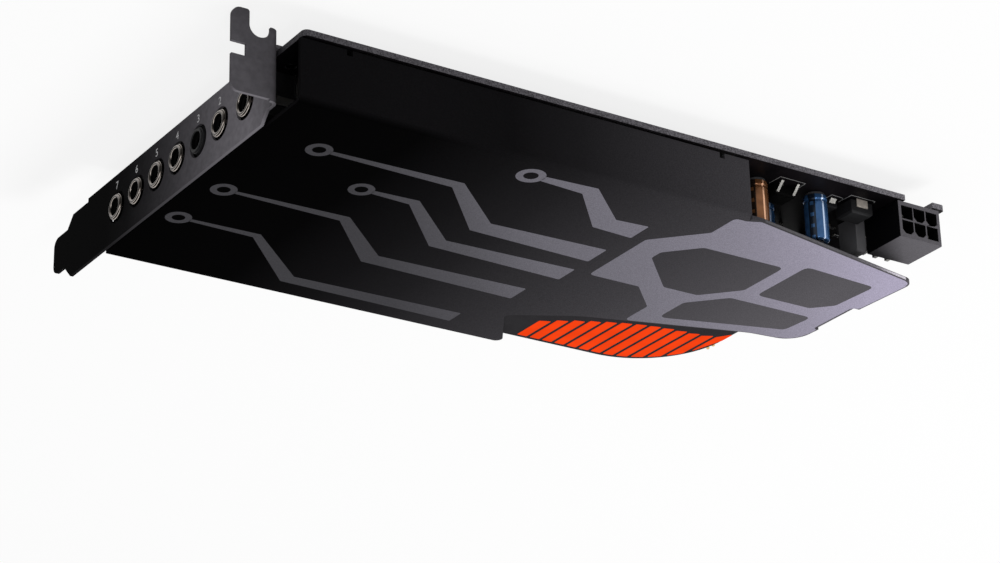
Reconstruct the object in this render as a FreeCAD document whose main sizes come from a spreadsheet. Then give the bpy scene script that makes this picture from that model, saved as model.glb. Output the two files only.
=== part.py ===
# A full-height sound card for a computer's expansion slot, lying solder side down.
#
# Millimetres. X runs along the card away from the bracket, Y towards the free near edge, and Z out of
# the component face. The origin is the centre of the case screw's notch, on the underside of the tab.

import FreeCAD
import Part
import Sketcher
import math
import os
import re

doc = FreeCAD.newDocument("sound_card")
sizes = doc.addObject("Spreadsheet::Sheet", "sizes")

# Each size: its name and its value in millimetres, or a plain count.
SIZES = dict(
    # The bracket: one sheet of steel with a tab, a strip and a tongue.
    bracket_sheet=0.86,
    bracket_length=120.02,
    bracket_width=18.42,
    bracket_bend=1.3,
    notch_to_face=4.4,
    notch_to_board=2.8,
    notch_width=5.6,
    strip_lift=0.2,
    tab_depth=11.9,
    tab_inset=3.2,
    tab_corner=2.0,
    prong_rise=3.85,
    prong_corner=2.4,
    prong_inner_corner=0.7,
    ear_rise=0.6,
    guide_slot_depth=3.9,
    guide_slot_width=3.3,
    guide_slot_offset=5.4,
    neck_inset=2.8,
    neck_drop=4.7,
    far_step=1.0,
    far_step_drop=100.0,
    tongue_width=10.19,
    tongue_inset=4.25,
    tongue_length=7.9,
    tongue_corner=2.5,
    shoulder_drop=109.5,
    foot_width=8.0,
    foot_length=10.5,
    foot_bend=1.1,
    near_foot_drop=6.6,
    far_foot_drop=90.6,
    foot_screw_reach=7.6,
    # The printed circuit board and the contacts of its bus edge.
    board_gap=1.44,
    board_length=193.2,
    board_thickness=1.6,
    board_rise=9.2,
    board_drop=93.6,
    board_corner=1.5,
    nose_length=4.0,
    nose_depth=8.0,
    nose_rounding=0.8,
    latch_notch_inset=2.7,
    latch_notch_width=9.5,
    latch_notch_depth=6.0,
    bus_start=43.2,
    bus_length=21.2,
    bus_drop=7.6,
    bus_chamfer=0.6,
    key_start=11.65,
    key_width=1.9,
    key_depth=6.2,
    contact_pitch=1.0,
    contact_width=0.7,
    contact_length=4.6,
    contact_skin=0.06,
    contact_margin=0.65,
    # The folded cover over the component face.
    cover_sheet=1.0,
    cover_gap=0.7,
    cover_height=18.67,
    cover_bend=0.6,
    cover_setback=0.55,
    cover_far_drop=91.7,
    flange_length=131.0,
    flange_lift=2.2,
    flange_notch_start=12.5,
    flange_notch_span=109.2,
    flange_notch_width=1.6,
    flange_notch_depth=1.5,
    blank_step=3.4,
    nose_drop=11.2,
    nose_corner=3.4,
    end_reach=193.6,
    end_lean=2.3,
    end_drop=50.6,
    end_corner=7.0,
    cut_top_reach=176.5,
    cut_top_drop=52.0,
    cut_bend_reach=129.0,
    cut_bend_drop=65.5,
    cut_corner_reach=110.8,
    cut_corner_drop=75.0,
    cut_corner=1.8,
    cut_foot_reach=121.1,
    cut_foot_drop=91.7,
    leg_drop=25.0,
    leg_width=14.6,
    leg_inset=1.8,
    leg_relief=1.0,
    leg_foot=7.0,
    leg_screw_setback=4.5,
    # The tinted window behind the cover's cut-out.
    window_thickness=2.0,
    window_left=102.0,
    window_right=175.0,
    window_near_drop=44.5,
    window_far_drop=88.0,
    window_round=25.0,
    window_slant=14.0,
    window_slant_drop=21.0,
    # What holds the cover: hexagonal pillars and screws.
    pillar_across=5.0,
    pillar_hole_depth=6.0,
    pillar_screw_depth=5.0,
    screw_radius=1.45,
    screw_clearance=0.08,
    head_radius=2.9,
    head_height=1.7,
    # The round jacks.
    jack_first_drop=15.2,
    jack_second_drop=27.85,
    jack_pitch=11.05,
    jack_height=7.8,
    jack_bore=1.8,
    jack_depth=14.0,
    jack_window=8.6,
    ring_radius=3.5,
    ring_proud=0.8,
    ring_flare=0.7,
    black_ring_radius=3.3,
    body_gap=0.7,
    body_length=14.4,
    body_width=9.8,
    body_height=13.2,
    body_chamfer=1.2,
    spring_sheet=0.35,
    spring_start=2.6,
    spring_arm=8.2,
    spring_height=2.4,
    spring_tail=1.5,
    # The six-way power socket.
    socket_start=179.1,
    socket_width=14.2,
    socket_length=13.7,
    socket_foot=0.5,
    socket_height=10.35,
    cell_pitch=4.2,
    cell_size=3.7,
    cell_chamfer=1.0,
    cell_depth=10.4,
    lug_width=4.8,
    lug_rise=1.8,
    lug_length=3.0,
    lug_setback=2.6,
    socket_pin=1.1,
    socket_pin_setback=2.4,
    socket_pin_tail=2.2,
    socket_rib=1.2,
    # Electrolytic cans on rubber bungs, and the small ones on square bases.
    can_radius=3.15,
    can_height=13.6,
    bung_inset=0.5,
    bung_height=0.8,
    small_can_radius=2.0,
    small_can_height=5.4,
    small_can_base=4.3,
    small_can_base_height=0.9,
    # Chips and their legs.
    chip_height=1.5,
    chip_stand=0.12,
    chip_edge=0.25,
    leg_sheet=0.2,
    leg_shoulder=0.4,
    processor_length=20.0,
    processor_width=14.0,
    processor_pitch=1.27,
    processor_leg_width=0.4,
    processor_leg_reach=1.5,
    controller_size=12.0,
    controller_height=1.1,
    converter_length=10.3,
    converter_width=7.5,
    converter_pitch=1.27,
    converter_leg_width=0.42,
    converter_leg_reach=1.1,
    amplifier_length=4.9,
    amplifier_width=3.9,
    amplifier_pitch=1.27,
    amplifier_leg_width=0.42,
    amplifier_leg_reach=1.1,
    # Relays, film capacitors, coils, crystals, regulators and lamps.
    relay_length=10.6,
    relay_width=7.2,
    relay_height=8.0,
    relay_edge=0.5,
    film_length=7.2,
    film_width=2.5,
    film_height=10.4,
    film_edge=0.4,
    black_film_width=3.2,
    coil_length=5.6,
    coil_width=4.2,
    coil_lift=2.1,
    coil_height=1.9,
    coil_edge=0.5,
    coil_blade=1.1,
    coil_blade_sheet=0.35,
    coil_blade_span=4.4,
    large_coil_length=7.2,
    large_coil_width=6.5,
    large_coil_lift=0.3,
    large_coil_height=3.7,
    clip_width=3.6,
    clip_height=2.2,
    clip_sheet=0.25,
    crystal_length=11.0,
    crystal_width=4.6,
    crystal_height=3.5,
    crystal_rounding=2.2,
    crystal_flange=0.5,
    crystal_flange_height=0.5,
    regulator_length=6.5,
    regulator_width=6.1,
    regulator_height=2.2,
    regulator_tab=1.2,
    regulator_tab_width=5.2,
    regulator_tab_sheet=0.5,
    power_regulator_length=7.0,
    power_regulator_width=6.1,
    power_regulator_height=3.0,
    power_leg_width=0.8,
    power_leg_span=5.2,
    power_leg_reach=2.5,
    power_leg_slope=1.8,
    power_leg_rise=2.0,
    diode_length=3.6,
    diode_width=4.3,
    diode_height=2.3,
    diode_tab_width=1.9,
    diode_tab_reach=1.0,
    lamp_length=3.2,
    lamp_width=2.8,
    lamp_height=1.9,
    chip_part_length=2.0,
    chip_part_width=1.25,
    chip_part_height=0.8,
    # The pin header for the front panel's sockets.
    header_pitch=2.54,
    header_pin=0.64,
    header_floor=2.5,
    header_pin_height=8.5,
    header_overhang=1.27,
)

for row, (name, size) in enumerate(SIZES.items(), 1):
    sizes.set(f"A{row}", name)
    sizes.set(f"B{row}", str(size))
    sizes.setAlias(f"B{row}", name)
doc.recompute()

# Planes that several pieces share, as sums of the sizes above.
STRIP_OUT = "notch_to_face"
STRIP_IN = "(notch_to_face + bracket_sheet)"
STRIP_LOW = "(notch_to_board + strip_lift)"
STRIP_HIGH = "(notch_to_board + strip_lift + bracket_width)"
TAB_TOP = "bracket_sheet"
BOARD_BOTTOM = "notch_to_board"
BOARD_TOP = "(notch_to_board + board_thickness)"
BOARD_LEFT = f"({STRIP_IN} + board_gap)"
BOARD_RIGHT = f"({BOARD_LEFT} + board_length)"
BOARD_NEAR = "(bracket_sheet + board_rise)"
BOARD_FAR = "(bracket_sheet - board_drop)"
COVER_LEFT = f"({STRIP_IN} + cover_gap)"
COVER_OUT = f"({BOARD_BOTTOM} + cover_height)"
COVER_IN = f"({COVER_OUT} - cover_sheet)"
COVER_NEAR = f"({BOARD_NEAR} - cover_setback)"
BLANK_NEAR = f"({COVER_NEAR} - cover_bend - cover_sheet)"
JACK_LEVEL = f"({BOARD_TOP} + jack_height)"
BODY_LEFT = f"({STRIP_IN} + body_gap)"

nodes = []


def linked(expression):
    """The expression with every named size read from the sheet."""
    return re.sub(r"[a-z]\w*", lambda found: "sizes." + found.group(), expression)


def value(expression):
    """What the expression comes to now."""
    return float(sizes.evalExpression(linked(expression)))


def along(offset):
    """A place along the card, measured from the board's bracket end."""
    return f"({BOARD_LEFT} + {offset})"


def down(offset):
    """A place across the card, measured from the board's near edge."""
    return f"({BOARD_NEAR} - {offset})"


def placed(offsets):
    """The places on the component face for offsets along and down the board."""
    return [(along(x), down(y), BOARD_TOP) for x, y in offsets]


def new_body(label):
    """A body of its own for one piece."""
    body = doc.addObject("PartDesign::Body", label)
    body.Label = label
    return body


def kept(piece):
    """Marks a piece as one of the card's own."""
    nodes.append(piece)
    return piece


def new_sketch(body, plane, name, level="0"):
    """A sketch on one of the body's own planes, raised along that plane's normal."""
    sketch = body.newObject("Sketcher::SketchObject", name)
    support = next(item for item in body.Origin.OriginFeatures if item.Role == plane)
    sketch.AttachmentSupport = [(support, "")]
    sketch.MapMode = "FlatFace"
    sketch.setExpression("AttachmentOffset.Base.z", linked(level))
    return sketch


def bind(sketch, constraints, names, expressions):
    """Adds the constraints and ties the named ones to the sheet."""
    first = sketch.ConstraintCount
    sketch.addConstraint(constraints)
    for offset, name in names:
        sketch.renameConstraint(first + offset, name)
        sketch.setExpression(f"Constraints.{name}", linked(expressions[name]))


def draw_outline(sketch, corners):
    """Joins corners, each (across, up) or (across, up, rounding), into a closed outline."""
    points = [FreeCAD.Vector(value(corner[0]), value(corner[1]), 0) for corner in corners]
    count = len(points)
    starts = []
    ends = []
    arcs = []
    for index, corner in enumerate(corners):
        point = points[index]
        if len(corner) < 3:
            starts.append(point)
            ends.append(point)
            arcs.append(None)
            continue
        radius = value(corner[2])
        back = (points[index - 1] - point).normalize()
        ahead = (points[(index + 1) % count] - point).normalize()
        half = back.getAngle(ahead) / 2
        reach = radius / math.tan(half)
        centre = point + (back + ahead).normalize() * (radius / math.sin(half))
        turns_left = back.cross(ahead).z < 0
        ends.append(point + back * reach)
        starts.append(point + ahead * reach)
        arcs.append((centre, radius, turns_left))
    lines = []
    for index in range(count):
        lines.append(sketch.addGeometry(Part.LineSegment(starts[index], ends[(index + 1) % count])))
    constraints = []
    names = []
    expressions = {}

    def dimension(constraint, name, expression):
        names.append((len(constraints), name))
        constraints.append(constraint)
        expressions[name] = expression

    tag = sketch.GeometryCount
    for index, corner in enumerate(corners):
        before = lines[index - 1]
        after = lines[index]
        if arcs[index] is None:
            constraints.append(Sketcher.Constraint("Coincident", before, 2, after, 1))
            anchor = (after, 1)
        else:
            centre, radius, turns_left = arcs[index]
            first, last = (ends[index], starts[index]) if turns_left else (starts[index], ends[index])
            circle = Part.Circle(centre, FreeCAD.Vector(0, 0, 1), radius)
            arc = sketch.addGeometry(Part.ArcOfCircle(
                circle,
                math.atan2(first.y - centre.y, first.x - centre.x),
                math.atan2(last.y - centre.y, last.x - centre.x)))
            near_side, far_side = (1, 2) if turns_left else (2, 1)
            constraints.append(Sketcher.Constraint("Tangent", before, 2, arc, near_side))
            constraints.append(Sketcher.Constraint("Tangent", arc, far_side, after, 1))
            mark = sketch.addGeometry(Part.Point(points[index]), True)
            constraints.append(Sketcher.Constraint("PointOnObject", mark, 1, before))
            constraints.append(Sketcher.Constraint("PointOnObject", mark, 1, after))
            dimension(Sketcher.Constraint("Radius", arc, radius), f"rounding_{tag}_{index}", corner[2])
            anchor = (mark, 1)
        dimension(Sketcher.Constraint("DistanceX", -1, 1, *anchor, points[index].x),
                  f"across_{tag}_{index}", corner[0])
        dimension(Sketcher.Constraint("DistanceY", -1, 1, *anchor, points[index].y),
                  f"up_{tag}_{index}", corner[1])
    bind(sketch, constraints, names, expressions)
    return sketch


def draw_circle(sketch, across, up, radius):
    """A circle with its centre and radius tied to the sheet."""
    centre = FreeCAD.Vector(value(across), value(up), 0)
    circle = sketch.addGeometry(Part.Circle(centre, FreeCAD.Vector(0, 0, 1), value(radius)))
    expressions = {f"across_{circle}": across, f"up_{circle}": up, f"radius_{circle}": radius}
    constraints = [
        Sketcher.Constraint("DistanceX", -1, 1, circle, 3, centre.x),
        Sketcher.Constraint("DistanceY", -1, 1, circle, 3, centre.y),
        Sketcher.Constraint("Radius", circle, value(radius)),
    ]
    bind(sketch, constraints, list(enumerate(expressions)), expressions)
    return sketch


def many_sided(radius, sides, across="0", up="0"):
    """The corners of a regular outline, the first of them straight across from its centre."""
    corners = []
    for step in range(sides):
        angle = math.tau * step / sides
        corners.append((f"({across} + ({radius}) * {math.cos(angle):.6f})",
                        f"({up} + ({radius}) * {math.sin(angle):.6f})"))
    return corners


def centred(length, width, *rounding):
    """The corners of a rectangle about the origin."""
    return rectangle(f"(0 - ({length}) / 2)", f"(0 - ({width}) / 2)", f"(({length}) / 2)", f"(({width}) / 2)",
                     *rounding)


def rectangle(left, low, right, high, *rounding):
    """The four corners of an upright rectangle, counter-clockwise."""
    corners = [(left, low), (right, low), (right, high), (left, high)]
    return [(*corner, *rounding) for corner in corners]


def pad(body, sketch, length, name="Pad", reverse=False):
    """Adds the sketch's outline to the body, raised by a length."""
    feature = body.newObject("PartDesign::Pad", name)
    feature.Profile = sketch
    feature.setExpression("Length", linked(length))
    feature.Reversed = reverse
    return feature


def pocket(body, sketch, depth=None, name="Pocket", reverse=False):
    """Cuts the sketch's outline out of the body, right through where no depth is given."""
    feature = body.newObject("PartDesign::Pocket", name)
    feature.Profile = sketch
    if depth is None:
        feature.Type = "ThroughAll"
        feature.Midplane = True
    else:
        feature.setExpression("Length", linked(depth))
        feature.Reversed = reverse
    return feature


def revolve(body, sketch, axis="V_Axis", name="Turned"):
    """Turns the sketch's outline about one of the sketch's own axes."""
    feature = body.newObject("PartDesign::Revolution", name)
    feature.Profile = sketch
    feature.ReferenceAxis = (sketch, [axis])
    feature.Angle = 360
    return feature


def edges_of(feature, wanted):
    """The names of the feature's edges that the test accepts."""
    return [f"Edge{number}" for number, edge in enumerate(feature.Shape.Edges, 1) if wanted(edge)]


def bevel(body, feature, wanted, size, name="Chamfer"):
    """Chamfers the edges that the test accepts."""
    doc.recompute()
    chamfer = body.newObject("PartDesign::Chamfer", name)
    chamfer.Base = (feature, edges_of(feature, wanted))
    chamfer.setExpression("Size", linked(size))
    return chamfer


def is_level(edge, height):
    """Whether both ends of the edge lie at one height."""
    return all(abs(vertex.Z - height) < 1e-6 for vertex in edge.Vertexes)


def block(label, corner, extent):
    """A plain block from its lowest corner and its three lengths."""
    box = doc.addObject("Part::Box", label)
    box.Label = label
    for side, length in zip(("Length", "Width", "Height"), extent):
        box.setExpression(side, linked(length))
    for axis, place in zip("xyz", corner):
        box.setExpression(f"Placement.Base.{axis}", linked(place))
    return box


def spread(label, *sets):
    """One node of separate solids: each set is a master and its places, some with a turn about Z."""
    copies = []
    for master, places in sets:
        for place in places:
            copy = doc.addObject("App::Link", f"{label}_copy")
            copy.LinkedObject = master
            copy.LinkTransform = False
            turn = place[3] if len(place) > 3 else 0
            copy.Placement = FreeCAD.Placement(
                FreeCAD.Vector(), FreeCAD.Rotation(FreeCAD.Vector(0, 0, 1), turn))
            for axis, expression in zip("xyz", place):
                copy.setExpression(f"Placement.Base.{axis}", linked(expression))
            copies.append(copy)
    group = doc.addObject("Part::Compound", label)
    group.Label = label
    group.Links = copies
    return kept(group)


# Jack numbers run from the tab: the third is the plain black one.
BLACK_JACK = 3


def jack_place(number):
    """The drop of a jack's centre below the tab's outer face."""
    if number == 1:
        return f"({TAB_TOP} - jack_first_drop)"
    return f"({TAB_TOP} - jack_second_drop - {number - 2} * jack_pitch)"


JACKS = range(1, 8)
RINGED_JACKS = [number for number in JACKS if number != BLACK_JACK]


def make_bracket():
    """One folded sheet: strip with jack windows, tongue, tab with its notch, and two feet."""
    body = new_body("mounting_bracket")
    strip = new_sketch(body, "YZ_Plane", "StripOutline", STRIP_OUT)
    bend_low = "(0 - bracket_bend)"
    neck = f"({STRIP_HIGH} - neck_inset)"
    step = f"({STRIP_LOW} + far_step)"
    tongue_low = f"({STRIP_LOW} + tongue_inset)"
    tongue_high = f"({tongue_low} + tongue_width)"
    tongue_end = f"({TAB_TOP} - bracket_length)"
    tongue_root = f"({tongue_end} + tongue_length)"
    draw_outline(strip, [
        (bend_low, f"({BOARD_BOTTOM} - notch_to_board - ear_rise)"),
        (bend_low, neck),
        (f"({TAB_TOP} - neck_drop)", neck),
        (f"({TAB_TOP} - neck_drop - neck_inset)", STRIP_HIGH),
        (f"({TAB_TOP} - shoulder_drop)", STRIP_HIGH),
        (f"({TAB_TOP} - shoulder_drop - {STRIP_HIGH} + {tongue_high})", tongue_high),
        (tongue_end, tongue_high, "tongue_corner"),
        (tongue_end, tongue_low, "tongue_corner"),
        (tongue_root, tongue_low),
        (f"({tongue_root} + tongue_inset - far_step)", step),
        (f"({TAB_TOP} - far_step_drop)", step),
        (f"({TAB_TOP} - far_step_drop)", STRIP_LOW),
        (f"({bend_low} - bracket_sheet)", STRIP_LOW),
        (f"({bend_low} - bracket_sheet)", f"({BOARD_BOTTOM} - notch_to_board - ear_rise)"),
    ])
    pad(body, strip, "bracket_sheet", "Strip")
    fold = new_sketch(body, "XY_Plane", "FoldOutline", f"({BOARD_BOTTOM} - notch_to_board - ear_rise)")
    lap = "(bracket_sheet / 4)"
    draw_outline(fold, [
        (STRIP_OUT, f"({bend_low} - {lap})"),
        (STRIP_IN, f"({bend_low} - {lap})"),
        (STRIP_IN, TAB_TOP, "bracket_bend + bracket_sheet"),
        (f"({STRIP_OUT} - bracket_bend - {lap})", TAB_TOP),
        (f"({STRIP_OUT} - bracket_bend - {lap})", "0"),
        (STRIP_OUT, "0", "bracket_bend"),
    ])
    pad(body, fold, f"({neck} + ear_rise)", "Fold")
    tab = new_sketch(body, "XZ_Plane", "TabOutline")
    tab_high = f"({STRIP_HIGH} - tab_inset)"
    tab_end = f"({STRIP_OUT} - tab_depth)"
    notch_side = "(notch_width / 2)"
    slot_low = "guide_slot_offset"
    slot_high = "(guide_slot_offset + guide_slot_width)"
    slot_end = f"({tab_end} + guide_slot_depth)"
    draw_outline(tab, [
        (f"({STRIP_OUT} - bracket_bend)", "0 - ear_rise"),
        (f"({STRIP_OUT} - bracket_bend)", tab_high),
        (tab_end, tab_high, "tab_corner"),
        (tab_end, slot_high),
        (slot_end, slot_high),
        (slot_end, slot_low),
        (tab_end, slot_low),
        (tab_end, "0 - prong_rise", "prong_corner"),
        (f"(0 - {notch_side})", "0 - prong_rise", "prong_inner_corner"),
        (f"(0 - {notch_side})", "0"),
        (notch_side, "0"),
        (notch_side, "0 - ear_rise"),
    ])
    pad(body, tab, "bracket_sheet", "Tab", reverse=True)
    notch = new_sketch(body, "XZ_Plane", "NotchRound")
    draw_circle(notch, "0", "0", notch_side)
    pocket(body, notch, name="Notch")
    windows = new_sketch(body, "YZ_Plane", "JackWindows", STRIP_OUT)
    for number in JACKS:
        draw_circle(windows, jack_place(number), JACK_LEVEL, "jack_window / 2")
    pocket(body, windows, "bracket_sheet", "Windows", reverse=True)
    for name, drop in (("Near", "near_foot_drop"), ("Far", "far_foot_drop")):
        level = f"({drop} - bracket_sheet - foot_width / 2)"
        foot = new_sketch(body, "XZ_Plane", f"{name}FootOutline", level)
        outer = "(foot_bend + bracket_sheet)"
        bottom = f"({BOARD_BOTTOM} - bracket_sheet)"
        draw_outline(foot, [
            (STRIP_OUT, f"({bottom} + {outer} + foot_bend)"),
            (STRIP_OUT, bottom, outer),
            (f"({STRIP_OUT} + foot_length)", bottom),
            (f"({STRIP_OUT} + foot_length)", BOARD_BOTTOM),
            (STRIP_IN, BOARD_BOTTOM, "foot_bend"),
            (STRIP_IN, f"({bottom} + {outer} + foot_bend)"),
        ])
        pad(body, foot, "foot_width", f"{name}Foot")
    holes = new_sketch(body, "XY_Plane", "FootHoles", BOARD_BOTTOM)
    for place in FOOT_PLACES:
        draw_outline(holes, many_sided("screw_radius + screw_clearance", SHANK_SIDES, *place))
    pocket(body, holes, "bracket_sheet", "FootHoleCuts")
    return kept(body)


def make_board():
    """The printed circuit board with its bus edge, key slot, latch notch and screw holes."""
    body = new_body("circuit_board")
    outline = new_sketch(body, "XY_Plane", "BoardOutline", BOARD_BOTTOM)
    bus_left = along("bus_start")
    bus_right = along("bus_start + bus_length")
    bus_end = f"({BOARD_FAR} - bus_drop)"
    key_left = along("bus_start + key_start")
    key_right = along("bus_start + key_start + key_width")
    key_top = f"({bus_end} + key_depth)"
    notch_start = "socket_start + latch_notch_inset"
    notch_left = along(notch_start)
    notch_right = along(f"{notch_start} + latch_notch_width")
    nose_tip = along(f"{notch_start} + latch_notch_width + nose_length")
    notch_floor = f"({BOARD_NEAR} - latch_notch_depth)"
    nose_end = f"({BOARD_NEAR} - nose_depth)"
    draw_outline(outline, [
        (BOARD_LEFT, BOARD_NEAR, "board_corner"),
        (BOARD_LEFT, BOARD_FAR, "board_corner"),
        (bus_left, BOARD_FAR),
        (bus_left, bus_end, "bus_chamfer"),
        (key_left, bus_end),
        (key_left, key_top, "key_width / 3"),
        (key_right, key_top, "key_width / 3"),
        (key_right, bus_end),
        (bus_right, bus_end, "bus_chamfer"),
        (bus_right, BOARD_FAR),
        (BOARD_RIGHT, BOARD_FAR, "board_corner"),
        (BOARD_RIGHT, nose_end),
        (nose_tip, nose_end, "nose_rounding"),
        (nose_tip, BOARD_NEAR, "nose_rounding"),
        (notch_right, BOARD_NEAR),
        (notch_right, notch_floor),
        (notch_left, notch_floor),
        (notch_left, BOARD_NEAR),
    ])
    pad(body, outline, "board_thickness", "Plate")
    holes = new_sketch(body, "XY_Plane", "ScrewHoles", BOARD_TOP)
    for place in screw_places():
        draw_outline(holes, many_sided("screw_radius + screw_clearance", SHANK_SIDES, *place))
    pocket(body, holes, "board_thickness", "Drilled")
    return kept(body)


FOOT_PLACES = [(f"({STRIP_OUT} + foot_screw_reach)", f"({TAB_TOP} - {drop})")
               for drop in ("near_foot_drop", "far_foot_drop")]

# The pillars that carry the cover, as offsets along and down the board.
PILLARS = [(27.0, 6.5), (112.0, 6.5), (173.7, 31.2), (18.0, 98.0), (74.0, 98.0), (97.5, 80.0)]
PILLAR_PLACES = [(along(x), down(y)) for x, y in PILLARS]
LEG_SCREW = (f"({COVER_LEFT} + end_reach - leg_inset - leg_screw_setback)",
             f"({TAB_TOP} - leg_drop - leg_width / 2)")


def screw_places():
    """Every place where a screw goes through the board."""
    return FOOT_PLACES + PILLAR_PLACES + [LEG_SCREW]


def make_contacts():
    """The gilt contacts on both faces of the bus edge, left out over the key."""
    places = []
    bus_end = f"({BOARD_FAR} - bus_drop)"
    first_bank = 11
    second_bank = 7
    for number in range(first_bank):
        places.append(f"({along('bus_start + contact_margin')} + {number} * contact_pitch)")
    past_key = along("bus_start + key_start + key_width + contact_margin")
    for number in range(second_bank):
        places.append(f"({past_key} + {number} * contact_pitch)")
    for label, level in (("bus_contacts_component_side", BOARD_TOP),
                         ("bus_contacts_solder_side", f"({BOARD_BOTTOM} - contact_skin)")):
        master = block(f"{label}_master", ("0", "0", "0"),
                       ("contact_width", "contact_length", "contact_skin"))
        rows = [(f"({place} - contact_width / 2)", f"({bus_end} + bus_chamfer)", level) for place in places]
        spread(label, (master, rows))


def make_cover():
    """One folded sheet: printed face, near flange with two notches, and a leg at the free end."""
    body = new_body("cover")
    flange_end = f"({COVER_LEFT} + flange_length)"
    face = new_sketch(body, "XY_Plane", "FaceOutline", COVER_IN)
    end_x = f"({COVER_LEFT} + end_reach)"
    leg_near = f"({TAB_TOP} - leg_drop)"
    leg_far = f"({leg_near} - leg_width)"
    leg_line = f"({end_x} - leg_inset - cover_bend - cover_sheet)"
    lean = "end_lean / end_drop"
    corners = [
        (COVER_LEFT, BLANK_NEAR),
        (COVER_LEFT, f"({TAB_TOP} - cover_far_drop)"),
        (f"({COVER_LEFT} + cut_foot_reach)", f"({TAB_TOP} - cut_foot_drop)", "cut_corner"),
        (f"({COVER_LEFT} + cut_corner_reach)", f"({TAB_TOP} - cut_corner_drop)", "cut_corner"),
        (f"({COVER_LEFT} + cut_bend_reach)", f"({TAB_TOP} - cut_bend_drop)", "4 * end_corner"),
        (f"({COVER_LEFT} + cut_top_reach)", f"({TAB_TOP} - cut_top_drop)", "3 * end_corner"),
        (f"({end_x} - end_lean)", f"({TAB_TOP} - end_drop)", "end_corner"),
        (f"({end_x} - (leg_drop + leg_width + leg_relief) * {lean})", f"({leg_far} - leg_relief)"),
        (leg_line, f"({leg_far} - leg_relief)"),
        (leg_line, f"({leg_near} + leg_relief)"),
        (f"({end_x} - (leg_drop - leg_relief) * {lean})", f"({leg_near} + leg_relief)"),
        (end_x, f"({COVER_NEAR} - nose_drop)", "nose_corner"),
        (f"({flange_end} + blank_step)", COVER_NEAR),
        (flange_end, COVER_NEAR),
        (flange_end, BLANK_NEAR),
    ]
    draw_outline(face, corners)
    pad(body, face, "cover_sheet", "Face")
    fold = new_sketch(body, "YZ_Plane", "FlangeProfile", COVER_LEFT)
    flange_low = f"({BOARD_BOTTOM} + flange_lift)"
    lap = f"({BLANK_NEAR} - cover_sheet)"
    draw_outline(fold, [
        (lap, COVER_IN),
        (f"({COVER_NEAR} - cover_sheet)", COVER_IN, "cover_bend"),
        (f"({COVER_NEAR} - cover_sheet)", flange_low),
        (COVER_NEAR, flange_low),
        (COVER_NEAR, COVER_OUT, "cover_bend + cover_sheet"),
        (lap, COVER_OUT),
    ])
    pad(body, fold, "flange_length", "Flange")
    notches = new_sketch(body, "XZ_Plane", "FlangeNotches", f"(0 - {COVER_NEAR})")
    for place in ("flange_notch_start", "flange_notch_start + flange_notch_span"):
        left = f"({COVER_LEFT} + {place})"
        right = f"({left} + flange_notch_width)"
        draw_outline(notches, rectangle(left, f"({flange_low} - flange_notch_depth)",
                                        right, f"({flange_low} + flange_notch_depth)"))
    pocket(body, notches, "cover_sheet", "NotchCuts", reverse=True)
    leg = new_sketch(body, "XZ_Plane", "LegProfile", f"(0 - {leg_near})")
    outer = f"({end_x} - leg_inset)"
    lap = f"({leg_line} - cover_sheet)"
    draw_outline(leg, [
        (lap, COVER_OUT),
        (lap, COVER_IN),
        (f"({outer} - cover_sheet)", COVER_IN, "cover_bend"),
        (f"({outer} - cover_sheet)", f"({BOARD_TOP} + cover_sheet)", "cover_bend"),
        (f"({outer} - cover_sheet - leg_foot)", f"({BOARD_TOP} + cover_sheet)"),
        (f"({outer} - cover_sheet - leg_foot)", BOARD_TOP),
        (outer, BOARD_TOP, "cover_bend + cover_sheet"),
        (outer, COVER_OUT, "cover_bend + cover_sheet"),
    ])
    pad(body, leg, "leg_width", "Leg")
    hole = new_sketch(body, "XY_Plane", "LegHole", BOARD_TOP)
    draw_outline(hole, many_sided("screw_radius + screw_clearance", SHANK_SIDES, *LEG_SCREW))
    pocket(body, hole, "cover_sheet", "LegHoleCut", reverse=True)
    return kept(body)


def make_window():
    """The tinted plate seated on the inside of the cover's face."""
    body = new_body("window_plate")
    left = f"({COVER_LEFT} + window_left)"
    right = f"({COVER_LEFT} + window_right)"
    near = f"({TAB_TOP} - window_near_drop)"
    far = f"({TAB_TOP} - window_far_drop)"
    outline = new_sketch(body, "XY_Plane", "WindowOutline", f"({COVER_IN} - window_thickness)")
    draw_outline(outline, [
        (left, far),
        (right, far, "window_round"),
        (right, near),
        (f"({right} - window_slant)", near),
        (left, f"({near} - window_slant_drop)"),
    ])
    pad(body, outline, "window_thickness", "Plate")
    return kept(body)


def make_pillars():
    """Hexagonal pillars between the board and the cover, drilled for the screws below."""
    body = new_body("cover_pillar_master")
    outline = new_sketch(body, "XY_Plane", "Hexagon")
    corner_radius = f"pillar_across / {math.sqrt(3):.6f}"
    draw_outline(outline, many_sided(corner_radius, 6))
    pad(body, outline, f"({COVER_IN} - {BOARD_TOP})", "Pillar")
    hole = new_sketch(body, "XY_Plane", "ScrewHole")
    draw_outline(hole, many_sided("screw_radius + screw_clearance", SHANK_SIDES))
    pocket(body, hole, "pillar_hole_depth", "Drilled", reverse=True)
    spread("cover_pillars", (body, [(x, y, BOARD_TOP) for x, y in PILLAR_PLACES]))


# Screws, their holes and the cans' bungs repeat often, so they are faceted.
SHANK_SIDES = 8
HEAD_SIDES = 12
BUNG_SIDES = 12


def make_screw_master(label, length):
    """A pan-headed screw with its seat at the origin and its shank along +Z."""
    body = new_body(label)
    head = new_sketch(body, "XY_Plane", "HeadOutline")
    draw_outline(head, many_sided("head_radius", HEAD_SIDES))
    pad(body, head, "head_height", "Head", reverse=True)
    shank = new_sketch(body, "XY_Plane", "ShankOutline")
    draw_outline(shank, many_sided("screw_radius", SHANK_SIDES))
    pad(body, shank, length, "Shank")
    return body


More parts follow.
